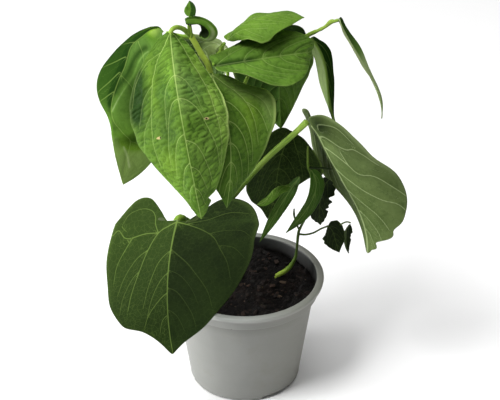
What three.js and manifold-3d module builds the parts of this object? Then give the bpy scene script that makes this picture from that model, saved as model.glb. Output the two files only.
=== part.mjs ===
// A young climbing bean plant in a plastic nursery pot: two heart-shaped first leaves, leaves of three
// leaflets each, a curled growing tip and a small side shoot, standing in a pot filled with soil.
// Millimetres, +Z up, the front of the plant faces -Y. The origin is the centre of the pot's underside.
import * as THREE from "three";
import { mergeVertices } from "three/addons/utils/BufferGeometryUtils.js";
import Module from "manifold-3d";

const wasm = await Module();
wasm.setup();

// Driving dimensions
const potHeight = 88;
const rimRadius = 60; // a 12 cm nursery pot, measured over its lip
const lipDepth = 3;
const collarDepth = 12; // the straight band under the lip
const collarStep = 3.3; // how far the band stands out from the wall
const baseRadius = 42;
const wallTopRadius = 52.5;
const wallThickness = 1.8;
const floorThickness = 4;
const potSides = 48;
const footGapAngles = [36, 156, 276]; // degrees from the front towards +X
const footGapHeight = 2.3;
const footGapWidth = 25;
const footGapEnd = 30; // how near to the axis the gaps in the foot run
const drainHoleRadius = 3.8;
const soilTop = 77.4;
const soilLump = 1.5;
const clearance = 0.35; // between pieces that touch
const stalkClearance = 0.7; // between the end of a stalk and the blade it holds
const bladeThickness = 0.7;
const ribDepth = 0.9; // how far the midrib stands out under a large blade, at its base
const limbSides = 7;

const colours = {
  pot: { color: 0xb4b7b6, roughness: 0.5, metalness: 0 },
  soil: { color: 0x241c17, roughness: 1, metalness: 0 },
  stem: { color: 0x7f9c3a, roughness: 0.6, metalness: 0 },
  freshLeaf: { color: 0x4f8a26, roughness: 0.55, metalness: 0 },
  oldLeaf: { color: 0x2c4a20, roughness: 0.6, metalness: 0 },
};

// Half outlines of a blade, from its base to its tip: [share of the half width, share of the length]
const outlines = {
  leaflet: [
    [0, 0],
    [0.38, -0.015],
    [0.78, 0.08],
    [1, 0.28],
    [0.93, 0.5],
    [0.62, 0.73],
    [0.24, 0.9],
    [0, 1],
  ],
  heart: [
    [0, 0],
    [0.19, 0],
    [0.27, -0.1],
    [0.46, -0.17],
    [0.76, -0.1],
    [0.97, 0.12],
    [1, 0.36],
    [0.85, 0.62],
    [0.5, 0.82],
    [0.16, 0.93],
    [0, 1],
  ],
  lobed: [
    [0, 0],
    [0.26, -0.01],
    [0.25, -0.06],
    [0.43, -0.17],
    [0.68, -0.14],
    [1, 0.17],
    [0.96, 0.45],
    [0.77, 0.7],
    [0.43, 0.82],
    [0.08, 0.98],
    [0, 1],
  ],
  broad: [
    [0, 0],
    [0.38, -0.015],
    [0.8, 0.05],
    [1, 0.2],
    [1, 0.36],
    [0.72, 0.5],
    [0.36, 0.66],
    [0.16, 0.85],
    [0, 1],
  ],
  shallow: [
    [0, 0],
    [0.2, -0.01],
    [0.42, -0.07],
    [0.7, -0.05],
    [0.93, 0.1],
    [1, 0.3],
    [0.9, 0.55],
    [0.6, 0.78],
    [0.22, 0.92],
    [0, 1],
  ],
  pointed: [
    [0, 0],
    [0.3, 0.03],
    [0.63, 0.13],
    [0.9, 0.28],
    [1, 0.43],
    [0.92, 0.6],
    [0.64, 0.79],
    [0.26, 0.93],
    [0, 1],
  ],
  tapered: [
    [0, 0],
    [0.35, 0],
    [0.8, 0.08],
    [1, 0.25],
    [0.9, 0.4],
    [0.42, 0.52],
    [0.1, 0.62],
    [0.03, 0.8],
    [0, 1],
  ],
  full: [
    [0, 0],
    [0.3, 0],
    [0.66, 0.1],
    [0.9, 0.27],
    [1, 0.48],
    [0.98, 0.68],
    [0.8, 0.85],
    [0.4, 0.96],
    [0, 1],
  ],
  strap: [
    [0, 0],
    [0.5, 0.04],
    [0.95, 0.2],
    [1, 0.42],
    [0.8, 0.65],
    [0.35, 0.88],
    [0, 1],
  ],
};

// Each blade: the outline of its two halves, its midrib as a Bezier curve from base to tip, the way its upper side faces at the base and
// at the tip, the width of its two halves (the half on the right comes first, with the tip pointing away),
// how steeply each half rises from the midrib at the base and at the tip, how much further it bends on the
// way to its margin, and the wave along the margin [height, count, phase].
const blades = [
  {
    name: "front_leaf_end_leaflet",
    outline: "pointed",
    colour: "freshLeaf",
    midrib: [[-50, -21, 299], [-46, -67, 277], [-36, -94, 243], [-29, -83, 188]],
    face: [[0.07, -0.69, 0.72], [-0.01, -1, 0.02]],
    half: [45, 41],
    fold: [[-41, -38], [-47, -44]],
    curl: [7, 0],
    wave: [2, 3, 0],
  },
  {
    name: "front_leaf_left_leaflet",
    outline: ["tapered", "full"],
    colour: "freshLeaf",
    midrib: [[-56, -9, 292], [-87, -8, 295], [-99, -29, 242], [-86, -27, 182]],
    face: [[-0.41, -0.24, 0.88], [0.17, -0.98, 0.12]],
    half: [34, 37],
    fold: [[-18, -21], [-30, -4]],
    curl: [-41, 6],
    wave: [1.5, 3, 2],
  },
  {
    name: "front_leaf_right_leaflet",
    outline: "leaflet",
    colour: "freshLeaf",
    midrib: [[-22, -11, 262], [-19, -33, 255], [-2, -52, 249], [-12, -72, 190]],
    face: [[0.37, -0.75, 0.55], [0.52, -0.85, -0.06]],
    half: [31, 41],
    fold: [[-33, -12], [-22, -35]],
    curl: [-9, 24],
    wave: [1.5, 3, 1],
  },
  {
    name: "first_leaf_left",
    outline: ["lobed", "heart"],
    colour: "oldLeaf",
    midrib: [[-46, -72, 180], [-55, -70, 144], [-58, -57, 97], [-51, -85, 76]],
    face: [[0.35, -0.54, 0.76], [0.44, -0.89, -0.09]],
    half: [54, 70],
    fold: [[6, -4], [27, -1]],
    curl: [0, 0],
    wave: [2, 2, 0.5],
  },
  {
    name: "first_leaf_right",
    outline: "shallow",
    colour: "oldLeaf",
    midrib: [[47, -2, 218], [63, -14, 184], [93, -8, 151], [91, -13, 115]],
    face: [[0.8, 0.37, 0.47], [0.61, 0.78, 0.14]],
    half: [54, 45],
    fold: [[-18, 28], [-8, 45]],
    curl: [67, -46],
    wave: [2.5, 3, 0],
  },
  {
    name: "upper_leaf_end_leaflet",
    outline: "pointed",
    colour: "freshLeaf",
    midrib: [[-12, 9, 278], [-6, 15, 290], [17, 16, 300], [42, 14, 293]],
    face: [[0.38, 0.34, 0.86], [0.15, 0.03, 0.99]],
    half: [27, 23],
    fold: [[4, -13], [8, -21]],
    curl: [-73, 16],
    wave: [1.5, 3, 0],
  },
  {
    name: "upper_leaf_right_leaflet",
    outline: "leaflet",
    colour: "freshLeaf",
    midrib: [[-20, -18, 272], [21, -5, 273], [55, 2, 273], [47, 20, 264]],
    face: [[-0.01, -0.25, 0.97], [0.51, -0.81, 0.3]],
    half: [27, 27],
    fold: [[17, 8], [-22, 23]],
    curl: [32, -78],
    wave: [1.5, 3, 0],
  },
  {
    name: "upper_leaf_left_leaflet",
    outline: "leaflet",
    colour: "freshLeaf",
    midrib: [[-15, 18, 271], [-36, 28, 270], [-32, 28, 252], [-39, 36, 208]],
    face: [[0.13, 0.67, 0.73], [-0.16, 0.99, 0.06]],
    half: [22, 24],
    fold: [[-1, -10], [-13, 7]],
    curl: [-17, 18],
    wave: [1.5, 3, 0],
  },
  {
    name: "side_leaf_left_leaflet",
    outline: "leaflet",
    colour: "oldLeaf",
    midrib: [[45, 36, 267], [20, 36, 255], [26, 40, 226], [27, 38, 192]],
    face: [[-0.08, 0.91, 0.41], [-0, 1, 0.1]],
    half: [27, 37],
    fold: [[17, -10], [39, 25]],
    curl: [0, 0],
    wave: [1.5, 3, 0],
  },
  {
    name: "side_leaf_right_leaflet",
    outline: "pointed",
    colour: "oldLeaf",
    midrib: [[47, 22, 274], [65, 25, 250], [56, 26, 229], [66, 18, 207]],
    face: [[0.28, 0.96, 0.08], [0.29, 0.96, -0.01]],
    half: [11, 17],
    fold: [[68, 39], [84, 65]],
    curl: [0, 0],
    wave: [1.5, 3, 0],
  },
  {
    name: "side_leaf_end_leaflet",
    outline: "pointed",
    colour: "freshLeaf",
    midrib: [[67, 21, 289], [73, 32, 265], [103, 17, 235], [99, 12, 214]],
    face: [[0.99, -0.02, 0.11], [0.98, -0.03, 0.21]],
    half: [13, 13],
    fold: [[5, 9], [2, 7]],
    curl: [0, 0],
    wave: [0.8, 3, 0],
  },
  {
    name: "shade_leaf_large",
    outline: ["leaflet", "broad"],
    colour: "oldLeaf",
    midrib: [[35, 24, 197], [20, 19, 173], [27, 23, 147], [17, 24, 122]],
    face: [[0.3, -0.75, 0.59], [0.21, -0.94, 0.25]],
    half: [31, 32],
    fold: [[44, 37], [7, 3]],
    curl: [0, 0],
    wave: [2, 3, 0],
  },
  {
    name: "shade_leaf_left_leaflet",
    outline: "strap",
    colour: "freshLeaf",
    midrib: [[40, -4, 175], [35, -1, 166], [22, -8, 146], [11, -12, 124]],
    face: [[-0.33, -0.75, 0.57], [-0.02, -0.95, 0.32]],
    half: [4, 5],
    fold: [[-6, 7], [-3, 2]],
    curl: [0, 0],
    wave: [0.8, 2, 0],
    small: true,
  },
  {
    name: "shade_leaf_right_leaflet",
    outline: "strap",
    colour: "freshLeaf",
    midrib: [[48, -4, 181], [57, -11, 172], [50, -12, 155], [30, -17, 135]],
    face: [[0.34, -0.85, 0.4], [0.36, -0.93, 0.11]],
    half: [5, 7],
    fold: [[3, -4], [12, -21]],
    curl: [0, 0],
    wave: [0.8, 2, 0],
    small: true,
  },
  {
    name: "shade_leaf_end_leaflet",
    outline: "strap",
    colour: "freshLeaf",
    midrib: [[33, -7, 169], [17, -12, 176], [21, -26, 167], [9, -24, 164]],
    face: [[-0.83, -0.32, 0.45], [-0.59, -0.67, 0.46]],
    half: [8, 8],
    fold: [[-51, -40], [-36, -29]],
    curl: [0, 0],
    wave: [0.5, 2, 0],
    small: true,
  },
  {
    name: "side_shoot_dark_leaf",
    outline: "leaflet",
    colour: "oldLeaf",
    midrib: [[62, 9, 165], [56, 10, 158], [53, -2, 142], [57, 9, 126]],
    face: [[0.46, -0.78, 0.42], [0.06, -0.96, 0.28]],
    half: [9, 10],
    fold: [[12, -11], [1, 5]],
    curl: [0, 0],
    wave: [1.2, 3, 0],
    small: true,
  },
  {
    name: "side_shoot_heart_leaf",
    outline: "leaflet",
    colour: "oldLeaf",
    midrib: [[63, 18, 119], [69, 20, 114], [68, 16, 105], [72, 13, 99]],
    face: [[0.25, -0.81, 0.52], [0.16, -0.93, 0.32]],
    half: [10, 9],
    fold: [[8, -4], [3, -3]],
    curl: [0, 0],
    wave: [0.6, 2, 0],
    small: true,
  },
  {
    name: "side_shoot_edge_leaf",
    outline: "strap",
    colour: "oldLeaf",
    midrib: [[81, 30, 113], [74, 28, 109], [75, 27, 99], [80, 24, 91]],
    face: [[0.87, -0.28, 0.4], [0.94, -0.33, 0.1]],
    half: [6, 7],
    fold: [[39, 44], [49, 52]],
    curl: [0, 0],
    wave: [0.4, 2, 0],
    small: true,
  },
  {
    name: "tip_bud_leaf",
    outline: "strap",
    colour: "freshLeaf",
    midrib: [[-37, -13, 306], [-36, -10, 311], [-35, -15, 310], [-37, -11, 317]],
    face: [[-0.58, -0.76, 0.3], [-0.59, -0.75, 0.29]],
    half: [6, 5],
    fold: [[21, 26], [19, 27]],
    curl: [0, 0],
    wave: [0.2, 2, 0],
    small: true,
  },
];

// Each stalk: the points its axis runs through and its radius at each, the stalks it grows from and the
// blades that sit on its end.
const limbs = [
  {
    name: "main_stem",
    axis: [
      [-10, 5, 64],
      [-11, 5, 90],
      [-13, 5, 120],
      [-14, 5, 146],
      [-16, 2, 185],
      [-19, -3, 225],
      [-24, -8, 263],
      [-30, -9.5, 277],
      [-37, -11, 292],
    ],
    radii: [2.7, 2.6, 2.5, 2.6, 2.3, 2.2, 2.1, 2, 2.1],
    sides: 10,
    from: [],
    holds: [],
  },
  {
    name: "stalk_first_leaf_right",
    axis: [
      [-14, 5, 148],
      [-7, 2, 157],
      [1, 0, 169],
      [17, -5, 192],
      [36, -9, 214],
      [44, -11, 224],
    ],
    radii: [2.6, 2.2, 2.1, 2.2, 2.1, 2.5],
    from: ["main_stem"],
    holds: ["first_leaf_right"],
  },
  {
    name: "stalk_first_leaf_left",
    axis: [
      [-14, 5, 147],
      [-20, -15, 154],
      [-27, -36, 159],
      [-33, -46, 163],
      [-38, -54, 168],
      [-44, -62, 176],
      [-47.5, -66.5, 175.5],
    ],
    radii: [2.4, 1.9, 1.7, 1.7, 1.8, 2.7, 2],
    from: ["main_stem", "stalk_first_leaf_right"],
    holds: ["first_leaf_left"],
  },
  {
    name: "stalk_front_leaf",
    axis: [
      [-37, -11, 291],
      [-41, -14, 297],
      [-45, -18, 300.5],
      [-48, -23, 301.5],
      [-49.5, -27, 301],
    ],
    radii: [1.9, 1.8, 1.6, 1.6, 1.4],
    from: ["main_stem"],
    holds: ["front_leaf_end_leaflet"],
  },
  {
    name: "stalk_front_leaf_left_leaflet",
    axis: [
      [-37, -10, 289],
      [-45, -9, 290],
      [-53, -11, 293],
    ],
    radii: [1.4, 1.3, 1.3],
    from: ["main_stem", "stalk_front_leaf"],
    holds: ["front_leaf_left_leaflet"],
  },
  {
    name: "stalk_upper_leaf",
    axis: [
      [-17, 0, 200],
      [-14, 5, 212],
      [-12.5, 11, 228],
      [-11.8, 16.5, 246],
      [-13, 18, 257],
      [-16, 16, 267.5],
      [-14, 12.5, 274],
    ],
    radii: [1.4, 1.2, 1.2, 1.2, 1.2, 1.6, 1.2],
    from: ["main_stem"],
    holds: ["upper_leaf_end_leaflet"],
  },
  {
    name: "stalk_side_leaf",
    axis: [
      [-16, 2, 188],
      [-6, 6, 218],
      [0, 10, 243],
      [10, 18, 256],
      [29, 27, 264],
      [46, 31, 272],
      [52, 29, 276],
      [57, 27.5, 279.7],
      [61, 26, 284.2],
      [63.5, 25, 285.2],
      [66, 24, 286.5],
    ],
    radii: [1.5, 1.3, 1.2, 1.2, 1.2, 1.6, 1.2, 1.2, 1.7, 1.2, 1.2],
    from: ["main_stem"],
    holds: ["side_leaf_end_leaflet"],
  },
  {
    name: "side_stem",
    axis: [
      [20, 14, 66],
      [24, 14, 76],
      [31, 14, 81.5],
      [35, 14, 86],
      [38.5, 15, 93],
      [39.5, 16, 99],
      [40.5, 17, 113],
      [42, 16.5, 119],
      [46, 14.5, 130],
      [50.5, 11.5, 145],
      [51.5, 8, 159],
      [49.5, 5, 170],
      [46.5, 3.5, 179],
      [46, 4.5, 187],
      [46, 8, 194],
    ],
    radii: [1.7, 1.9, 1.9, 1.7, 1.2, 1, 1.1, 1, 0.9, 0.9, 0.9, 1, 1.1, 0.9, 0.8],
    from: [],
    holds: [],
  },
  {
    name: "stalk_upper_leaf_right_leaflet",
    axis: [
      [-16, 16, 267.5],
      [-18.5, 10, 267],
      [-21.5, 0, 268],
      [-21.1, -18.2, 272.4],
    ],
    radii: [1.1, 1, 1, 1],
    from: ["stalk_upper_leaf"],
    holds: ["upper_leaf_right_leaflet"],
  },
  {
    name: "tip_stalk_bud",
    axis: [
      [-37.5, -11, 291],
      [-38, -11, 299],
      [-37.6, -12, 303],
    ],
    radii: [0.9, 0.8, 0.8],
    from: ["main_stem", "stalk_front_leaf"],
    holds: ["tip_bud_leaf"],
  },
  {
    name: "tip_curled_leaf",
    axis: [
      [-36, -12, 291],
      [-36, -13, 298],
      [-37.5, -14, 302.5],
      [-34.7, -14, 303.9],
      [-30.6, -14, 303],
      [-26, -14, 300.6],
      [-23, -14, 297],
      [-23, -14, 293.5],
    ],
    radii: [0.8, 0.8, 2.2, 2.6, 2.8, 3.5, 4.7, 4.5],
    from: ["main_stem", "stalk_front_leaf", "tip_stalk_bud"],
    holds: [],
    detail: 2,
  },
  {
    name: "side_twig_bud",
    axis: [
      [41, 17, 117],
      [39.5, 16.5, 121],
      [38, 16, 126],
      [37, 16, 131],
      [37, 16, 136],
    ],
    radii: [0.8, 0.7, 0.6, 0.9, 0.5],
    from: ["side_stem"],
    holds: [],
  },
  {
    name: "side_twig_low",
    axis: [
      [41, 17, 113],
      [46, 17, 112.5],
      [52, 18, 113.5],
      [58, 20, 116],
      [64, 19.5, 119],
    ],
    radii: [0.8, 0.7, 0.7, 0.7, 0.7],
    from: ["side_stem"],
    holds: ["side_shoot_heart_leaf"],
  },
  {
    name: "side_twig_high",
    axis: [
      [46.5, 3.5, 179],
      [50, 3.5, 178.5],
      [56, 5, 177.5],
      [63.5, 7.5, 175],
    ],
    radii: [1, 0.8, 0.7, 0.7],
    from: ["side_stem"],
    holds: ["side_shoot_dark_leaf"],
  },
  {
    name: "side_twig_arc",
    axis: [
      [72, 22, 118],
      [75, 25, 118],
      [78, 28, 117],
      [80.5, 30, 115],
    ],
    radii: [0.6, 0.6, 0.6, 0.6],
    from: [],
    holds: ["side_shoot_heart_leaf", "side_shoot_edge_leaf"],
  },
];

// Shared geometry helpers
const radians = THREE.MathUtils.degToRad;
const vec = (p) => new THREE.Vector3(p[0], p[1], p[2]);

function seededRandom(seed) {
  let state = seed;
  return () => {
    state = (state * 1664525 + 1013904223) % 4294967296;
    return state / 4294967296;
  };
}

function closedGeometry(points, triangles) {
  const geometry = new THREE.BufferGeometry();
  geometry.setAttribute("position", new THREE.Float32BufferAttribute(points.flat(), 3));
  geometry.setIndex(triangles.flat());
  return geometry;
}

function solidFrom(geometry) {
  const bare = geometry.index ? geometry.toNonIndexed() : geometry.clone();
  const only = new THREE.BufferGeometry().setAttribute("position", bare.getAttribute("position"));
  const merged = mergeVertices(only, 1e-4);
  return new wasm.Manifold(
    new wasm.Mesh({
      numProp: 3,
      vertProperties: new Float32Array(merged.attributes.position.array),
      triVerts: new Uint32Array(merged.index.array),
    }),
  );
}

function geometryFrom(solid) {
  const mesh = solid.getMesh();
  const geometry = new THREE.BufferGeometry();
  geometry.setAttribute("position", new THREE.BufferAttribute(mesh.vertProperties, 3));
  geometry.setIndex(new THREE.BufferAttribute(mesh.triVerts, 1));
  return geometry;
}

function largestPart(solid) {
  const parts = solid.decompose();
  return parts.reduce((best, part) => (part.volume() > best.volume() ? part : best));
}

const plant = new THREE.Group();

function addPiece(name, geometry, colour) {
  const mesh = new THREE.Mesh(geometry, new THREE.MeshStandardMaterial(colours[colour]));
  mesh.name = name;
  plant.add(mesh);
}

// A leaf blade
function bladeGeometry(blade, extra = 0) {
  const rows = blade.small ? 8 : 12;
  const columns = blade.small ? 2 : 4;
  const shapes = [blade.outline, blade.outline].flat();
  const margins = [shapes[0], shapes.at(-1)].map(
    (shape) => new THREE.SplineCurve(outlines[shape].map(([x, y]) => new THREE.Vector2(x, y))),
  );
  const midrib = new THREE.CubicBezierCurve3(...blade.midrib.map(vec));
  midrib.arcLengthDivisions = 60;
  const length = midrib.getLength();
  const faceStart = vec(blade.face[0]);
  const faceEnd = vec(blade.face[1]);

  function surfacePoint(side, row, column) {
    const t = row / rows;
    const k = column / columns;
    const half = side > 0 ? 0 : 1;
    const edge = margins[half].getPoint(t);
    const share = (1 - k) * t ** 1.6 + k * edge.y;
    const along = THREE.MathUtils.clamp(share, 0, 1);
    const point = midrib.getPointAt(along);
    const tangent = midrib.getTangentAt(along);
    point.addScaledVector(tangent, Math.min(share, 0) * length - (row === 0 ? extra : 0));
    const up = faceStart.clone().lerp(faceEnd, along);
    up.addScaledVector(tangent, -up.dot(tangent)).normalize();
    const out = new THREE.Vector3().crossVectors(tangent, up);

    const width = blade.half[half];
    const distance = k * edge.x * width;
    const start = radians(THREE.MathUtils.lerp(blade.fold[0][half], blade.fold[1][half], along));
    const bend = radians(blade.curl[half]) / width;
    const angle = start + bend * distance;
    let away = distance * Math.cos(start);
    let rise = distance * Math.sin(start);
    if (Math.abs(bend) > 1e-6) {
      away = (Math.sin(angle) - Math.sin(start)) / bend;
      rise = (Math.cos(start) - Math.cos(angle)) / bend;
    }
    if (column === columns) away += extra;
    const [height, count, phase] = blade.wave;
    rise += height * k * k * Math.sin(Math.PI * t) * Math.sin(2 * Math.PI * count * t + phase + side);
    return point.addScaledVector(out, side * away).addScaledVector(up, rise);
  }

  // One sheet of points, row by row: the base, the rows from margin to margin, the tip.
  const sheet = [surfacePoint(1, 0, 0)];
  const across = 2 * columns + 1;
  for (let row = 1; row < rows; row++)
    for (let i = -columns; i <= columns; i++) sheet.push(surfacePoint(i < 0 ? -1 : 1, row, Math.abs(i)));
  sheet.push(surfacePoint(1, rows, 0));
  const at = (row, i) => 1 + (row - 1) * across + i;
  const tip = sheet.length - 1;

  const faces = [];
  for (let i = 0; i < across - 1; i++) {
    faces.push([0, at(1, i + 1), at(1, i)]);
    for (let row = 1; row < rows - 1; row++) {
      const [a, b, c, d] = [at(row, i), at(row, i + 1), at(row + 1, i + 1), at(row + 1, i)];
      if (i < columns) faces.push([a, b, c], [a, c, d]);
      else faces.push([a, b, d], [b, c, d]);
    }
    faces.push([tip, at(rows - 1, i), at(rows - 1, i + 1)]);
  }

  // The two skins stand off the sheet along its own normals, and a strip joins their rims.
  const flat = closedGeometry(sheet.map((p) => p.toArray()), faces);
  flat.computeVertexNormals();
  const normals = flat.getAttribute("normal");
  const top = [];
  const under = [];
  sheet.forEach((p, n) => {
    const normal = new THREE.Vector3().fromBufferAttribute(normals, n);
    const inside = n > 0 && n < tip;
    const row = inside ? 1 + Math.floor((n - 1) / across) : 0;
    const middle = inside && (n - 1) % across === columns;
    const rib = middle ? ribDepth * (1 - row / rows) * Math.min(1, length / 80) : 0;
    top.push(p.clone().addScaledVector(normal, bladeThickness / 2 + extra).toArray());
    under.push(p.clone().addScaledVector(normal, -bladeThickness / 2 - rib - extra).toArray());
  });
  const count = sheet.length;
  const rim = [0];
  for (let row = 1; row < rows; row++) rim.push(at(row, 0));
  rim.push(tip);
  for (let row = rows - 1; row > 0; row--) rim.push(at(row, across - 1));
  const skin = faces.concat(faces.map(([a, b, c]) => [a + count, c + count, b + count]));
  rim.forEach((a, n) => {
    const b = rim[(n + 1) % rim.length];
    skin.push([a, b, b + count], [a, b + count, a + count]);
  });
  return closedGeometry(top.concat(under), skin);
}

// A stalk: a closed tube of changing radius with a slightly domed end at each side
function limbGeometry(limb, extra = 0) {
  const sides = limb.sides ?? limbSides;
  const curve = new THREE.CatmullRomCurve3(limb.axis.map(vec));
  const steps = Math.ceil((limb.axis.length - 1) * (limb.detail ?? 1.5));
  const points = [];
  let normal = null;
  for (let step = 0; step <= steps; step++) {
    const t = step / steps;
    const centre = curve.getPoint(t);
    const tangent = curve.getTangent(t);
    if (step === 0) centre.addScaledVector(tangent, -extra);
    if (step === steps) centre.addScaledVector(tangent, extra);
    if (!normal) normal = new THREE.Vector3(0, 1, 0);
    normal.addScaledVector(tangent, -normal.dot(tangent)).normalize();
    const other = new THREE.Vector3().crossVectors(tangent, normal);
    const place = t * (limb.radii.length - 1);
    const index = Math.min(Math.floor(place), limb.radii.length - 2);
    const radius = THREE.MathUtils.lerp(limb.radii[index], limb.radii[index + 1], place - index) + extra;
    if (step === 0) points.push(centre.clone().addScaledVector(tangent, -radius * 0.4).toArray());
    for (let side = 0; side < sides; side++) {
      const angle = (2 * Math.PI * side) / sides;
      const rim = centre.clone().addScaledVector(normal, radius * Math.cos(angle));
      points.push(rim.addScaledVector(other, radius * Math.sin(angle)).toArray());
    }
    if (step === steps) points.push(centre.clone().addScaledVector(tangent, radius * 0.4).toArray());
  }
  const last = points.length - 1;
  const triangles = [];
  for (let side = 0; side < sides; side++) {
    const next = (side + 1) % sides;
    triangles.push([0, 1 + next, 1 + side]);
    for (let step = 0; step < steps; step++) {
      const a = 1 + step * sides;
      const b = a + sides;
      triangles.push([a + side, a + next, b + next], [a + side, b + next, b + side]);
    }
    triangles.push([last, 1 + steps * sides + side, 1 + steps * sides + next]);
  }
  return closedGeometry(points, triangles);
}

// The pot
const collarFoot = potHeight - collarDepth;
const innerWall = (z) =>
  baseRadius - wallThickness + ((wallTopRadius - baseRadius) * (z - floorThickness)) / (collarFoot - floorThickness);
const innerCollar = rimRadius - 6.4;
const potProfile = [
  [0, 0],
  [baseRadius - 1.5, 0],
  [baseRadius, 1.5],
  [baseRadius + 0.5, 4],
  [wallTopRadius, collarFoot - 1],
  [wallTopRadius + collarStep, collarFoot],
  [wallTopRadius + collarStep + 0.8, potHeight - lipDepth - 0.5],
  [rimRadius - 0.8, potHeight - lipDepth],
  [rimRadius, potHeight - 1.8],
  [rimRadius - 1, potHeight - 0.2],
  [rimRadius - 3, potHeight],
  [rimRadius - 5.5, potHeight - 0.4],
  [innerCollar + 0.3, potHeight - 2],
  [innerCollar, collarFoot],
  [innerWall(collarFoot - 3), collarFoot - 3],
  [innerWall(floorThickness + 1.5), floorThickness + 1.5],
  [innerWall(floorThickness) - 1.5, floorThickness],
  [0, floorThickness],
];
let pot = solidFrom(
  new THREE.LatheGeometry(
    potProfile.map(([r, z]) => new THREE.Vector2(r, z)),
    potSides,
  ).rotateX(Math.PI / 2),
);
for (const degrees of footGapAngles) {
  const gap = new THREE.BoxGeometry(footGapWidth, baseRadius, 2 * footGapHeight);
  gap.translate(0, -footGapEnd - baseRadius / 2, 0).rotateZ(radians(degrees));
  const hole = new THREE.CylinderGeometry(drainHoleRadius, drainHoleRadius, 3 * floorThickness, 16);
  hole.rotateX(Math.PI / 2).translate(0, -footGapEnd - 5, 0).rotateZ(radians(degrees));
  pot = pot.subtract(solidFrom(gap)).subtract(solidFrom(hole));
}
addPiece("pot", geometryFrom(pot), "pot");

// Stalks, each cut clear of the stalks it grows from and of the blades it holds
const bladesByName = Object.fromEntries(blades.map((blade) => [blade.name, blade]));
const limbsByName = Object.fromEntries(limbs.map((limb) => [limb.name, limb]));
for (const limb of limbs) {
  let solid = solidFrom(limbGeometry(limb));
  for (const name of limb.from) solid = solid.subtract(solidFrom(limbGeometry(limbsByName[name], clearance)));
  for (const name of limb.holds) solid = solid.subtract(solidFrom(bladeGeometry(bladesByName[name], stalkClearance)));
  addPiece(limb.name, geometryFrom(largestPart(solid)), "stem");
}

// The soil: a lumpy plug that follows the inside of the pot, with a hole for each stem that stands in it
function soilGeometry() {
  const random = seededRandom(11);
  const lumps = Array.from({ length: 9 }, () => [6 * random() - 3, 6 * random() - 3, 6.3 * random()]);
  const height = (x, y) =>
    lumps.reduce((sum, [a, b, phase]) => sum + Math.sin((a * x + b * y) / 12 + phase), 0) * (soilLump / 3);
  const topRadii = [10, 20, 29, 38, 46];
  const wall = [
    [innerCollar - clearance, soilTop - 0.5],
    [innerCollar - clearance, collarFoot + clearance],
    [innerWall(collarFoot - 3) - clearance, collarFoot - 3 + clearance],
    [innerWall(floorThickness + 2) - 1.2 * clearance, floorThickness + 2],
    [innerWall(floorThickness) - 2, floorThickness + clearance],
  ];
  const points = [[0, 0, soilTop + height(0, 0)]];
  const rings = topRadii.map((radius) => [radius, null]).concat(wall);
  for (const [radius, z] of rings) {
    for (let i = 0; i < potSides; i++) {
      const angle = (2 * Math.PI * i) / potSides;
      const [x, y] = [radius * Math.sin(angle), -radius * Math.cos(angle)];
      points.push([x, y, z ?? soilTop + height(x, y)]);
    }
  }
  points.push([0, 0, floorThickness + clearance]);
  const last = points.length - 1;
  const triangles = [];
  for (let i = 0; i < potSides; i++) {
    const next = (i + 1) % potSides;
    triangles.push([0, 1 + i, 1 + next]);
    for (let ring = 0; ring < rings.length - 1; ring++) {
      const a = 1 + ring * potSides;
      const b = a + potSides;
      triangles.push([a + i, b + i, b + next], [a + i, b + next, a + next]);
    }
    const a = 1 + (rings.length - 1) * potSides;
    triangles.push([last, a + next, a + i]);
  }
  return closedGeometry(points, triangles);
}

let soil = solidFrom(soilGeometry());
for (const name of ["main_stem", "side_stem"]) {
  soil = soil.subtract(solidFrom(limbGeometry(limbsByName[name], clearance)));
}
addPiece("soil", geometryFrom(largestPart(soil)), "soil");

// Leaf blades
for (const blade of blades) addPiece(blade.name, bladeGeometry(blade), blade.colour);

export default plant;
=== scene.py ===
import math
import bpy
import numpy as np
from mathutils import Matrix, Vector


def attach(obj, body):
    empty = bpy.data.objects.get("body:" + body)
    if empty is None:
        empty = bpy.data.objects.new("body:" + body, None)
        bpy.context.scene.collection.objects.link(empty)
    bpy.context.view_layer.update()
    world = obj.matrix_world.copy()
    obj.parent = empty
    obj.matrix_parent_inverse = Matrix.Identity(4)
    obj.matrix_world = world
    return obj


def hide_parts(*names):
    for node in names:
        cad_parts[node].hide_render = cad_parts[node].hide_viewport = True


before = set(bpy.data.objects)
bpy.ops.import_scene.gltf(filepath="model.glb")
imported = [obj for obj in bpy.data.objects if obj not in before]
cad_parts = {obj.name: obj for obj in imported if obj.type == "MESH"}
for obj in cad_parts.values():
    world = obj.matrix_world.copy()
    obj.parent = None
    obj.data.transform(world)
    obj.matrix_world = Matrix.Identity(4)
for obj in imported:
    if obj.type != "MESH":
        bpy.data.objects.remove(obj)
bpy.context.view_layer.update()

# A young climbing bean plant in a nursery pot. Shapes are worked out in millimetres and written to the
# meshes in metres. The front of the plant faces -Y. Angles are in degrees. Shares and tones in the long
# tables are in hundredths.
metres = 0.001
scene = bpy.context.scene
print("frame loaded:", len(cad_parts), "nodes")


# Shader maths: an operator adds a Math node and gives its socket
def operator(operation, reflected=False):
    def apply(self, other):
        first, second = (other, self) if reflected else (self, other)
        return self.maker.node("ShaderNodeMath", {"operation": operation}, {0: first, 1: second})

    return apply


# A socket that can be used in an expression
class Value:
    __add__ = __radd__ = operator("ADD")
    __mul__ = __rmul__ = operator("MULTIPLY")
    __sub__, __rsub__ = operator("SUBTRACT"), operator("SUBTRACT", reflected=True)
    __pow__, __rpow__ = operator("POWER"), operator("POWER", reflected=True)

    def __init__(self, maker, socket):
        self.maker = maker
        self.socket = socket

    def __abs__(self):
        return self.maker.node("ShaderNodeMath", {"operation": "ABSOLUTE"}, {0: self})


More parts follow.
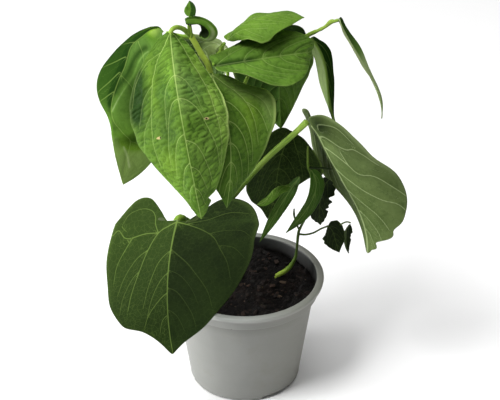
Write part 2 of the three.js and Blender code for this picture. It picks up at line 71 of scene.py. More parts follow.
# One material: a Principled surface, and a method that adds any other node
class Finish:
    def __init__(self, name, shine):
        self.material = bpy.data.materials.new(name)
        self.material.use_nodes = True
        self.nodes = self.material.node_tree.nodes
        self.links = self.material.node_tree.links
        self.surface = self.nodes["Principled BSDF"]
        self.surface.inputs["Specular IOR Level"].default_value = shine

    def plug(self, socket, value):
        if isinstance(value, Value):
            self.links.new(value.socket, socket)
        elif isinstance(value, tuple) and len(value) == 3 and socket.type == "RGBA":
            socket.default_value = (*value, 1)
        else:
            socket.default_value = value

    def node(self, kind, settings=None, inputs=None, output=0):
        node = self.nodes.new(kind)
        for key, value in (settings or {}).items():
            if key == "stops":
                ramp = node.color_ramp
                while len(ramp.elements) < len(value):
                    ramp.elements.new(1)
                for element, (position, colour) in zip(ramp.elements, value):
                    element.position = position
                    element.color = (*colour, 1)
            else:
                setattr(node, key, value)
        for key, value in (inputs or {}).items():
            self.plug(node.inputs[key], value)
        return Value(self, node.outputs[output])

    def mix(self, factor, first, second):
        settings = {"data_type": "RGBA", "clamp_factor": True}
        return self.node("ShaderNodeMix", settings, {0: factor, 6: first, 7: second}, 2)

    def layers(self, colour, *coats):
        for factor, coat in coats:
            colour = self.mix(factor, colour, coat)
        return colour

    def attribute(self, name):
        return self.node("ShaderNodeAttribute", {"attribute_name": name}, output="Fac")

    def coordinates(self, kind="Object"):
        return self.node("ShaderNodeTexCoord", output=kind)

    def noise(self, where, scale, detail=3, roughness=0.55, output="Fac"):
        inputs = {"Vector": where, "Scale": scale, "Detail": detail, "Roughness": roughness}
        return self.node("ShaderNodeTexNoise", None, inputs, output)

    def cellEdges(self, where, scale):
        settings = {"feature": "DISTANCE_TO_EDGE"}
        return self.node("ShaderNodeTexVoronoi", settings, {"Vector": where, "Scale": scale}, "Distance")

    def span(self, value, low, high, outLow=0.0, outHigh=1.0):
        inputs = {0: value, 1: low, 2: high, 3: outLow, 4: outHigh}
        return self.node("ShaderNodeMapRange", {"clamp": True}, inputs)

    def stretch(self, where, scale):
        return self.node("ShaderNodeMapping", None, {"Vector": where, "Scale": scale})

    def shift(self, where, offset, amount):
        moved = self.node("ShaderNodeVectorMath", {"operation": "SCALE"}, {0: offset, "Scale": amount})
        return self.node("ShaderNodeVectorMath", {"operation": "ADD"}, {0: where, 1: moved})

    def bump(self, height, strength, distance):
        inputs = {"Strength": strength, "Distance": distance, "Height": height}
        return self.node("ShaderNodeBump", None, inputs)

    def finish(self, **links):
        for socketName, value in links.items():
            self.plug(self.surface.inputs[socketName.replace("_", " ")], value)
        return self.material


# A piece from points in millimetres and lists of three- or four-cornered faces
def makePiece(name, points, faces, materials, slotName, nodes=(), faceSlots=None, flat=None, values=None):
    mesh = bpy.data.meshes.new(name)
    corners = np.concatenate([part.ravel() for part in faces])
    sizes = np.concatenate([np.full(len(part), part.shape[1]) for part in faces])
    starts = np.concatenate([[0], np.cumsum(sizes)[:-1]])
    mesh.vertices.add(len(points))
    mesh.vertices.foreach_set("co", (points * metres).astype(np.float32).ravel())
    mesh.loops.add(len(corners))
    mesh.loops.foreach_set("vertex_index", corners.astype(np.int32))
    mesh.polygons.add(len(sizes))
    mesh.polygons.foreach_set("loop_start", starts.astype(np.int32))
    mesh.update(calc_edges=True)
    if faceSlots is not None:
        mesh.polygons.foreach_set("material_index", faceSlots.astype(np.int32))
    if flat is not None:
        layer = mesh.uv_layers.new(name="leaf")
        layer.data.foreach_set("uv", flat[corners].astype(np.float32).ravel())
    for key, numbers in (values or {}).items():
        made = mesh.attributes.new(key, "FLOAT", "POINT")
        made.data.foreach_set("value", numbers.astype(np.float32))
    mesh.polygons.foreach_set("use_smooth", np.ones(len(sizes), dtype=bool))
    for material in materials:
        mesh.materials.append(material)
    mesh.update()
    piece = bpy.data.objects.new(name, mesh)
    scene.collection.objects.link(piece)
    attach(piece, "root")
    if nodes:
        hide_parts(*nodes)
    return piece


def quadCorners(first, second, third, fourth):
    return np.stack([first, second, third, fourth], axis=-1).reshape(-1, 4)


# Faces between rings of points, closed by one point at each end. These two points come last in the mesh.
def ringFaces(rings, around):
    index = np.arange(rings * around).reshape(rings, around)
    following = np.roll(index, -1, axis=1)
    quads = quadCorners(index[:-1], following[:-1], following[1:], index[1:])
    middle = np.full(around, rings * around)
    low = np.stack([middle, following[0], index[0]], axis=-1)
    high = np.stack([middle + 1, index[-1], following[-1]], axis=-1)
    return [quads, np.concatenate([low, high])]


# A smooth curve through points, evenly spread over t from 0 to 1
def throughPoints(points, t):
    points = np.array(points, float)
    place = np.clip(t, 0, 1) * (len(points) - 1)
    index = np.minimum(place.astype(int), len(points) - 2)
    weight = (place - index)[:, None]
    before = points[np.maximum(index - 1, 0)]
    start, end = points[index], points[index + 1]
    after = points[np.minimum(index + 2, len(points) - 1)]
    leave, arrive = (end - before) / 2, (after - start) / 2
    cubic = (2 * start - 2 * end + leave + arrive) * weight**3
    return cubic + (3 * end - 3 * start - 2 * leave - arrive) * weight**2 + leave * weight + start


# The same curve as a chain of close points
def chain(points):
    return throughPoints(points, np.linspace(0, 1, 4 * len(points)))


# A run of values spread evenly over 0 to 1
def alongRun(run, t):
    return np.interp(t * (len(run) - 1), np.arange(len(run)), run)


# A soft hill: 1 in its middle, running out over the width on both sides
def bell(distance, width=1.0):
    return np.exp(-((distance / width) ** 2))


def unit(vectors):
    return vectors / np.maximum(np.linalg.norm(vectors, axis=-1, keepdims=True), 1e-9)


# Camera, light and floor, in metres
view = dict(place=(0.004, -1.0065, 0.758), pitch=31, lens=115.2, sensor=36, farthest=20)
lights = dict(
    sky=(1.0, 1.0, 1.0),
    skyStrength=0.2,
    key=dict(place=(-0.75, -0.6, 1.6), aim=(0, 0, 0.16), size=0.7, power=30),
    ceiling=dict(place=(0.1, 0.2, 2.4), aim=(0, 0, 0), size=2.6, power=36),
    side=dict(place=(-1.5, -0.15, 0.25), aim=(0, 0, 0.05), size=0.6, power=27),
)
paper = dict(
    colour=(0.87, 0.87, 0.87), rough=0.9, shine=0.1,
    corners=((-6, -4), (6, -4), (6, 9), (-6, 9)), height=-0.0004,
)


def placeCamera():
    camera = bpy.data.objects.new("camera", bpy.data.cameras.new("camera"))
    camera.data.sensor_width = view["sensor"]
    camera.data.lens = view["lens"]
    camera.data.clip_end = view["farthest"]
    camera.location = view["place"]
    camera.rotation_euler = (math.radians(90 - view["pitch"]), 0, 0)
    scene.collection.objects.link(camera)
    scene.camera = camera


def placeLights():
    scene.view_settings.view_transform = "Standard"
    world = bpy.data.worlds.new("studio")
    world.use_nodes = True
    backdrop = world.node_tree.nodes["Background"]
    backdrop.inputs["Color"].default_value = (*lights["sky"], 1)
    backdrop.inputs["Strength"].default_value = lights["skyStrength"]
    scene.world = world
    for name in ("key", "ceiling", "side"):
        wanted = lights[name]
        lamp = bpy.data.lights.new(name, "AREA")
        lamp.shape = "DISK"
        lamp.size = wanted["size"]
        lamp.energy = wanted["power"]
        holder = bpy.data.objects.new(name, lamp)
        holder.location = wanted["place"]
        towards = Vector(wanted["aim"]) - Vector(wanted["place"])
        holder.rotation_euler = towards.to_track_quat("-Z", "Y").to_euler()
        scene.collection.objects.link(holder)


def placeFloor():
    mesh = bpy.data.meshes.new("floor")
    mesh.from_pydata([(x, y, paper["height"]) for x, y in paper["corners"]], [], [(0, 1, 2, 3)])
    finish = Finish("floor paper", paper["shine"])
    mesh.materials.append(finish.finish(Base_Color=paper["colour"], Roughness=paper["rough"]))
    floor = bpy.data.objects.new("floor", mesh)
    scene.collection.objects.link(floor)


placeCamera()
placeLights()
placeFloor()
print("camera, lights and floor placed")

# Leaf finishes: the deep and light greens of a side, the dark it turns to under painted shade and the pale
# it turns to under painted light, yellowish or bluish (in places the bluish tint also paints a sheen), the
# colour of its veins, how much its fine network shows, roughness and shine. The folded finish has a deeper
# painted shade, a paler painted light and no shine; the backlit finish is a lighter copy that paints the
# light shining through a leaf from behind.
leafLooks = {
    "fresh": dict(
        deep=(0.06, 0.133, 0.014), light=(0.12, 0.235, 0.029), dark=(0.013, 0.036, 0.005),
        pale=(0.2, 0.31, 0.08), warm=(0.2, 0.34, 0.02), cool=(0.085, 0.165, 0.045),
        vein=(0.35, 0.47, 0.14), network=0.1, rough=0.55, shine=0.04,
    ),
    "folded": dict(
        deep=(0.055, 0.125, 0.013), light=(0.1, 0.21, 0.025), dark=(0.009, 0.028, 0.004),
        pale=(0.46, 0.53, 0.28), warm=(0.2, 0.34, 0.02), cool=(0.085, 0.155, 0.04),
        vein=(0.24, 0.36, 0.08), network=0.08, rough=0.6, shine=0.0,
    ),
    "fresh underside": dict(
        deep=(0.12, 0.19, 0.045), light=(0.17, 0.25, 0.07), dark=(0.014, 0.032, 0.008),
        pale=(0.42, 0.49, 0.25), warm=(0.26, 0.36, 0.06), cool=(0.12, 0.19, 0.07),
        vein=(0.3, 0.39, 0.15), network=0.12, rough=0.65, shine=0.0,
    ),
    "backlit": dict(
        deep=(0.38, 0.5, 0.17), light=(0.48, 0.6, 0.24), dark=(0.05, 0.1, 0.02),
        pale=(0.85, 0.92, 0.62), warm=(0.4, 0.5, 0.15), cool=(0.3, 0.42, 0.2),
        vein=(0.7, 0.8, 0.48), network=0.1, rough=0.6, shine=0.05,
    ),
    "old": dict(
        deep=(0.019, 0.037, 0.008), light=(0.036, 0.066, 0.014), dark=(0.009, 0.015, 0.006),
        pale=(0.065, 0.12, 0.024), warm=(0.07, 0.14, 0.012), cool=(0.02, 0.04, 0.014),
        vein=(0.29, 0.44, 0.095), network=0.2, rough=0.62, shine=0.04,
    ),
    "old underside": dict(
        deep=(0.06, 0.092, 0.025), light=(0.095, 0.135, 0.042), dark=(0.018, 0.03, 0.009),
        pale=(0.17, 0.22, 0.1), warm=(0.12, 0.17, 0.03), cool=(0.05, 0.08, 0.03),
        vein=(0.27, 0.335, 0.155), network=0.07, rough=0.68, shine=0.03,
    ),
}
# Common to all of them: the colours of a dry edge and of a hole (painted dark, as the shade seen through
# it), and how many forms of each kind there are on a centimetre of blade
leafDetail = dict(
    dry=(0.36, 0.3, 0.13), hole=(0.012, 0.012, 0.008), wander=1.1, bend=0.35, network=2.7, threads=8,
    clouds=0.45, specks=26, crumbs=9, bump=0.4, bumpHeight=0.00025,
)


def leafFinish(name):
    look, detail = leafLooks[name], leafDetail
    finish = Finish("leaf " + name, look["shine"])
    where = finish.coordinates("UV")
    wander = finish.noise(where, detail["wander"], 2, output="Color")
    bent = finish.shift(where, wander, detail["bend"])
    network = finish.span(finish.cellEdges(bent, detail["network"]), 0.0, 0.055, 1.0, 0.0)
    threads = finish.span(finish.cellEdges(bent, detail["threads"]), 0.0, 0.08, 1.0, 0.0)
    clouds = finish.noise(where, detail["clouds"], 4, 0.6)
    specks = finish.noise(where, detail["specks"], 2)
    gap = abs(finish.attribute("veinGap"))
    size = finish.attribute("veinSize")
    veins = finish.span(gap - size, -0.2, 0.22, 1.0, 0.0) * finish.attribute("veinClear")
    # Painted shade in the valleys beside the veins, which darkens the tone
    veinValleyShade = finish.span(gap - size, 0.2, 2.2, 1.0, 0.0)
    # Painted shade in the creases between the puffs
    creases = finish.attribute("crease")
    # Painted shade below 0 and painted light above 0; lit is how far painted shade leaves the network and
    # veins showing
    shade = finish.attribute("shade")
    warmth = finish.attribute("warmth")
    tone = finish.span(clouds + specks * 0.06 - creases * 0.42 - veinValleyShade * 0.07, 0.34, 0.68)
    lit = finish.span(shade, -0.5, 0.3, 0.15, 1)
    dry = finish.attribute("spot") + finish.noise(where, detail["crumbs"], 2) * 0.5
    colour = finish.layers(
        finish.mix(tone, look["deep"], look["light"]),
        (warmth, look["warm"]), (warmth * -1, look["cool"]),
        (shade * -1, look["dark"]), (shade, look["pale"]),
        (creases * 0.28, look["dark"]),
        ((network + threads * 0.15) * look["network"] * lit, look["vein"]),
        (veins * (0.35 + lit * 0.5), look["vein"]),
        # The painted highlight along the margin
        (finish.attribute("rim") * 0.8, tuple(1.35 * part for part in look["vein"])),
        (finish.span(dry, 0.65, 0.8), detail["dry"]),
        # A hole painted as the dark shade seen through it
        (finish.span(finish.attribute("hole"), 0.4, 0.6), detail["hole"]),
    )
    rough = look["rough"]
    roughness = finish.span(clouds + threads * 0.1, 0.3, 0.8, rough - 0.06, rough + 0.1)
    height = specks * 0.3 - network * 0.5 - threads * 0.25
    if name.endswith("underside"):
        height = specks * 0.3 + network * 0.6 + threads * 0.2
    normal = finish.bump(height, detail["bump"], detail["bumpHeight"])
    return finish.finish(Base_Color=colour, Roughness=roughness, Normal=normal)


leafFinishes = {name: leafFinish(name) for name in leafLooks}

# Half outlines of a leaf blade from base to tip: share of the half width, share of the length
halfOutlines = {
    "leaflet": ((0, 0), (38, -1.5), (78, 8), (100, 28), (93, 50), (62, 73), (24, 90), (0, 100)),
    "heart": (
        (0, 0), (19, 0), (27, -10), (46, -17), (76, -10), (97, 12), (100, 36), (85, 62), (50, 82), (16, 93),
        (0, 100),
    ),
    "lobed": (
        (0, 0), (26, -1), (25, -6), (43, -17), (68, -14), (100, 17), (96, 45), (77, 70), (43, 82), (8, 98),
        (0, 100),
    ),
    "broad": ((0, 0), (38, -1.5), (80, 5), (100, 20), (100, 36), (72, 50), (36, 66), (16, 85), (0, 100)),
    "shallow": (
        (0, 0), (20, -1), (42, -7), (70, -5), (93, 10), (100, 30), (90, 55), (60, 78), (22, 92), (0, 100),
    ),
    "pointed": ((0, 0), (30, 3), (63, 13), (90, 28), (100, 43), (92, 60), (64, 79), (26, 93), (0, 100)),
    "tapered": ((0, 0), (35, 0), (80, 8), (100, 25), (90, 40), (42, 52), (10, 62), (3, 80), (0, 100)),
    "full": ((0, 0), (30, 0), (66, 10), (90, 27), (100, 48), (98, 68), (80, 85), (40, 96), (0, 100)),
    "strap": ((0, 0), (50, 4), (95, 20), (100, 42), (80, 65), (35, 88), (0, 100)),
}

# The veins of one half: the half width of each in millimetres at its start, and the points it runs
# through, as shares of the half width and of the length
veinPatterns = {
    "front leaf, left": (
        (0.5, (0, 1), (11, 7), (27, 13), (39, 22), (49, 32), (61, 47), (66, 60), (62, 72)),
        (0.25, (20, 10), (50, 12), (74, 20), (90, 33)),
        (0.25, (42, 25), (66, 31), (85, 45)),
        (0.25, (55, 39), (76, 48), (88, 62)),
        (0.35, (0, 25), (14, 28), (25, 36), (32, 50)),
        (0.4, (0, 37), (14, 39), (26, 47), (35, 58), (40, 70)),
        (0.4, (0, 54), (15, 57), (26, 65), (33, 77)),
        (0.35, (0, 68), (13, 72), (22, 80), (26, 87)),
        (0.3, (0, 79), (10, 83), (16, 91)),
    ),
    "front leaf, right": (
        (0.55, (0, 1), (15, 4), (43, 17), (64, 30), (74, 49), (72, 64), (62, 76)),
        (0.25, (60, 27), (78, 30), (92, 42)),
        (0.25, (72, 45), (86, 50), (93, 60)),
        (0.3, (0, 25), (17, 27), (33, 33), (46, 43)),
        (0.45, (0, 37), (18, 38), (37, 43), (51, 54), (60, 66), (58, 76)),
        (0.4, (0, 57), (20, 61), (33, 72), (37, 82)),
        (0.3, (0, 70), (14, 74), (22, 84)),
        (0.3, (0, 81), (8, 85), (12, 92)),
    ),
    "folded, outer": (
        (0.4, (4, 16), (30, 20), (70, 24)),
        (0.5, (0, 25), (28, 31), (79, 38)),
        (0.5, (0, 34), (20, 41), (48, 48), (60, 53)),
        (0.4, (3, 45), (25, 50), (39, 53), (50, 58)),
        (0.2, (0, 82), (20, 86), (26, 93)),
    ),
    "folded, inner": (
        (0.3, (2, 14), (30, 17), (50, 26)),
        (0.2, (6, 35), (30, 40), (45, 50)),
        (0.2, (28, 74), (45, 77), (57, 83)),
        (0.2, (19, 84), (30, 87), (35, 93)),
    ),
    "leaflet": (
        (0.4, (0, 1), (13, 6), (32, 15), (46, 26), (56, 39), (64, 55)),
        (0.25, (30, 14), (55, 17), (78, 26), (90, 38)),
        (0.25, (46, 26), (68, 34), (84, 48)),
        (0.35, (0, 24), (20, 29), (38, 40), (50, 55), (53, 68)),
        (0.4, (0, 40), (18, 44), (34, 54), (44, 68), (46, 78)),
        (0.35, (0, 55), (16, 60), (28, 71), (34, 82)),
        (0.3, (0, 68), (12, 73), (20, 82), (22, 89)),
        (0.25, (0, 80), (7, 84), (11, 92)),
    ),
    "heart, left": (
        (0.6, (0, 1), (10, 4), (23, 8), (36, 18), (48, 31), (61, 46), (68, 58)),
        (0.4, (23, 8), (42, 7), (62, 8), (72, 7), (80, 3), (88, 5)),
        (0.35, (60, 8), (71, 14), (84, 22), (90, 33)),
        (0.35, (23, 8), (29, 2), (31, -3), (38, -8), (52, -10), (68, -7), (74, 0)),
        (0.3, (36, 18), (54, 22), (72, 31), (84, 42)),
        (0.25, (48, 31), (62, 36), (76, 47), (82, 58)),
        (0.35, (0, 24), (16, 30), (25, 38), (34, 49), (42, 62)),
        (0.3, (0, 42), (13, 47), (26, 57), (36, 70)),
        (0.35, (0, 58), (16, 62), (33, 69), (42, 77)),
        (0.25, (0, 74), (10, 77), (17, 85)),
    ),
    "heart, right": (
        (0.5, (0, 1), (14, 4), (32, 11), (48, 21), (58, 33), (68, 46), (72, 58)),
        (0.25, (12, 3), (32, 0), (54, -5), (74, -4)),
        (0.25, (40, 16), (60, 16), (80, 20), (92, 28)),
        (0.25, (56, 30), (74, 35), (88, 46)),
        (0.45, (0, 23), (18, 36), (29, 46), (45, 63), (50, 74)),
        (0.25, (0, 40), (14, 47), (27, 59), (34, 70)),
        (0.35, (0, 54), (12, 60), (26, 75), (30, 83)),
        (0.25, (0, 70), (10, 76), (17, 86)),
    ),
    "back of heart": (
        (0.4, (42, 2), (50, -1), (72, 2), (80, 7), (86, 15)),
        (0.55, (29, 7), (42, 7), (52, 10), (60, 14), (70, 17), (81, 18), (89, 24), (93, 33)),
        (0.5, (22, 14), (40, 19), (52, 27), (57, 35), (74, 39), (81, 51), (85, 60)),
        (0.35, (56, 18), (53, 27)),
        (0.45, (8, 32), (28, 41), (43, 51), (56, 58), (70, 63), (76, 72)),
        (0.4, (0, 50), (17, 58), (33, 68), (42, 79)),
        (0.3, (0, 66), (13, 72), (24, 82), (27, 90)),
        (0.25, (0, 80), (8, 85), (13, 93)),
    ),
    "small": (
        (0.2, (0, 4), (30, 16), (55, 35), (66, 55)),
        (0.2, (0, 30), (30, 42), (50, 60)),
        (0.2, (0, 50), (25, 62), (35, 76)),
        (0.15, (0, 70), (15, 80), (20, 88)),
    ),
}

# Each blade. Its form: the outline of its two halves (the half on the right comes first, with the tip
# pointing away), its midrib as a Bezier curve from base to tip, the way its upper side faces at the base
# and at the tip, the width of the halves, how steeply they rise at the base and at the tip (fold) and how
# much further they bend (curl), the wave along the margin (height, number, phase), how rounded the crease
# at the midrib is, how ragged the margin is, and the bites in it (half, place, width, depth).
# Its surface: its look, or the finish of its front or back, mesh rows and columns, how high it puffs up
# between its veins (quilt), how far apart these puffs are (puff), how deep its veins lie (groove), its
# vein patterns, where its midrib is drawn, its width and that of the veins, how clear they are and how far
# painted shade hides them, and how strong the painted highlight along the margins of the two halves is
# (rims).
# Its tones: runs of shade and warmth from base to tip for the two halves, the millimetres over which they
# meet (ease), the shade along its fold (tone, place, end), patches (place, width, height, shade, warmth,
# rise), streaks (shade, width, line) and spots with a hole (place, shift of the hole). Every shade here is
# painted: below 0 it paints shade, above 0 it paints light.
# This dict holds what a blade has where its own lines don't say otherwise.
blade = dict(
    curl=(0, 0), wave=(1.5, 3, 0), crease=3, ragged=1.2, bites=(), thickness=0.5,
    look="fresh", grid=(110, 44), quilt=0.3, puff=(7, 4), slant=((1, -0.25), (0.3, 1)), creaseWidth=0.1,
    groove=0.4, ribDepth=0.8, rims=(0.3, 0.3), rimFrom=0.93, rimWidth=0.05, softFrom=0.85, endShare=0.06,
    veins=("leaflet", "leaflet"), drawnMidrib=((0, 0), (0, 50), (0, 100)), midribWidth=0.55,
    veinScale=0.75, veinTaper=0.6, veinOverlap=2.5, valleyWidth=(2.6, 0.6), ridgeWidth=(1.5, 0.2),
    veinClear=1, veinFade=0, shade=((0,), (0,)), warmth=((0,), (0,)), ease=3, foldShade=(0, 0, 100),
    foldWidth=2.2, patches=(), streaks=(), spots=(), spotSize=(2.1, 1.3), holeSize=0.8,
)
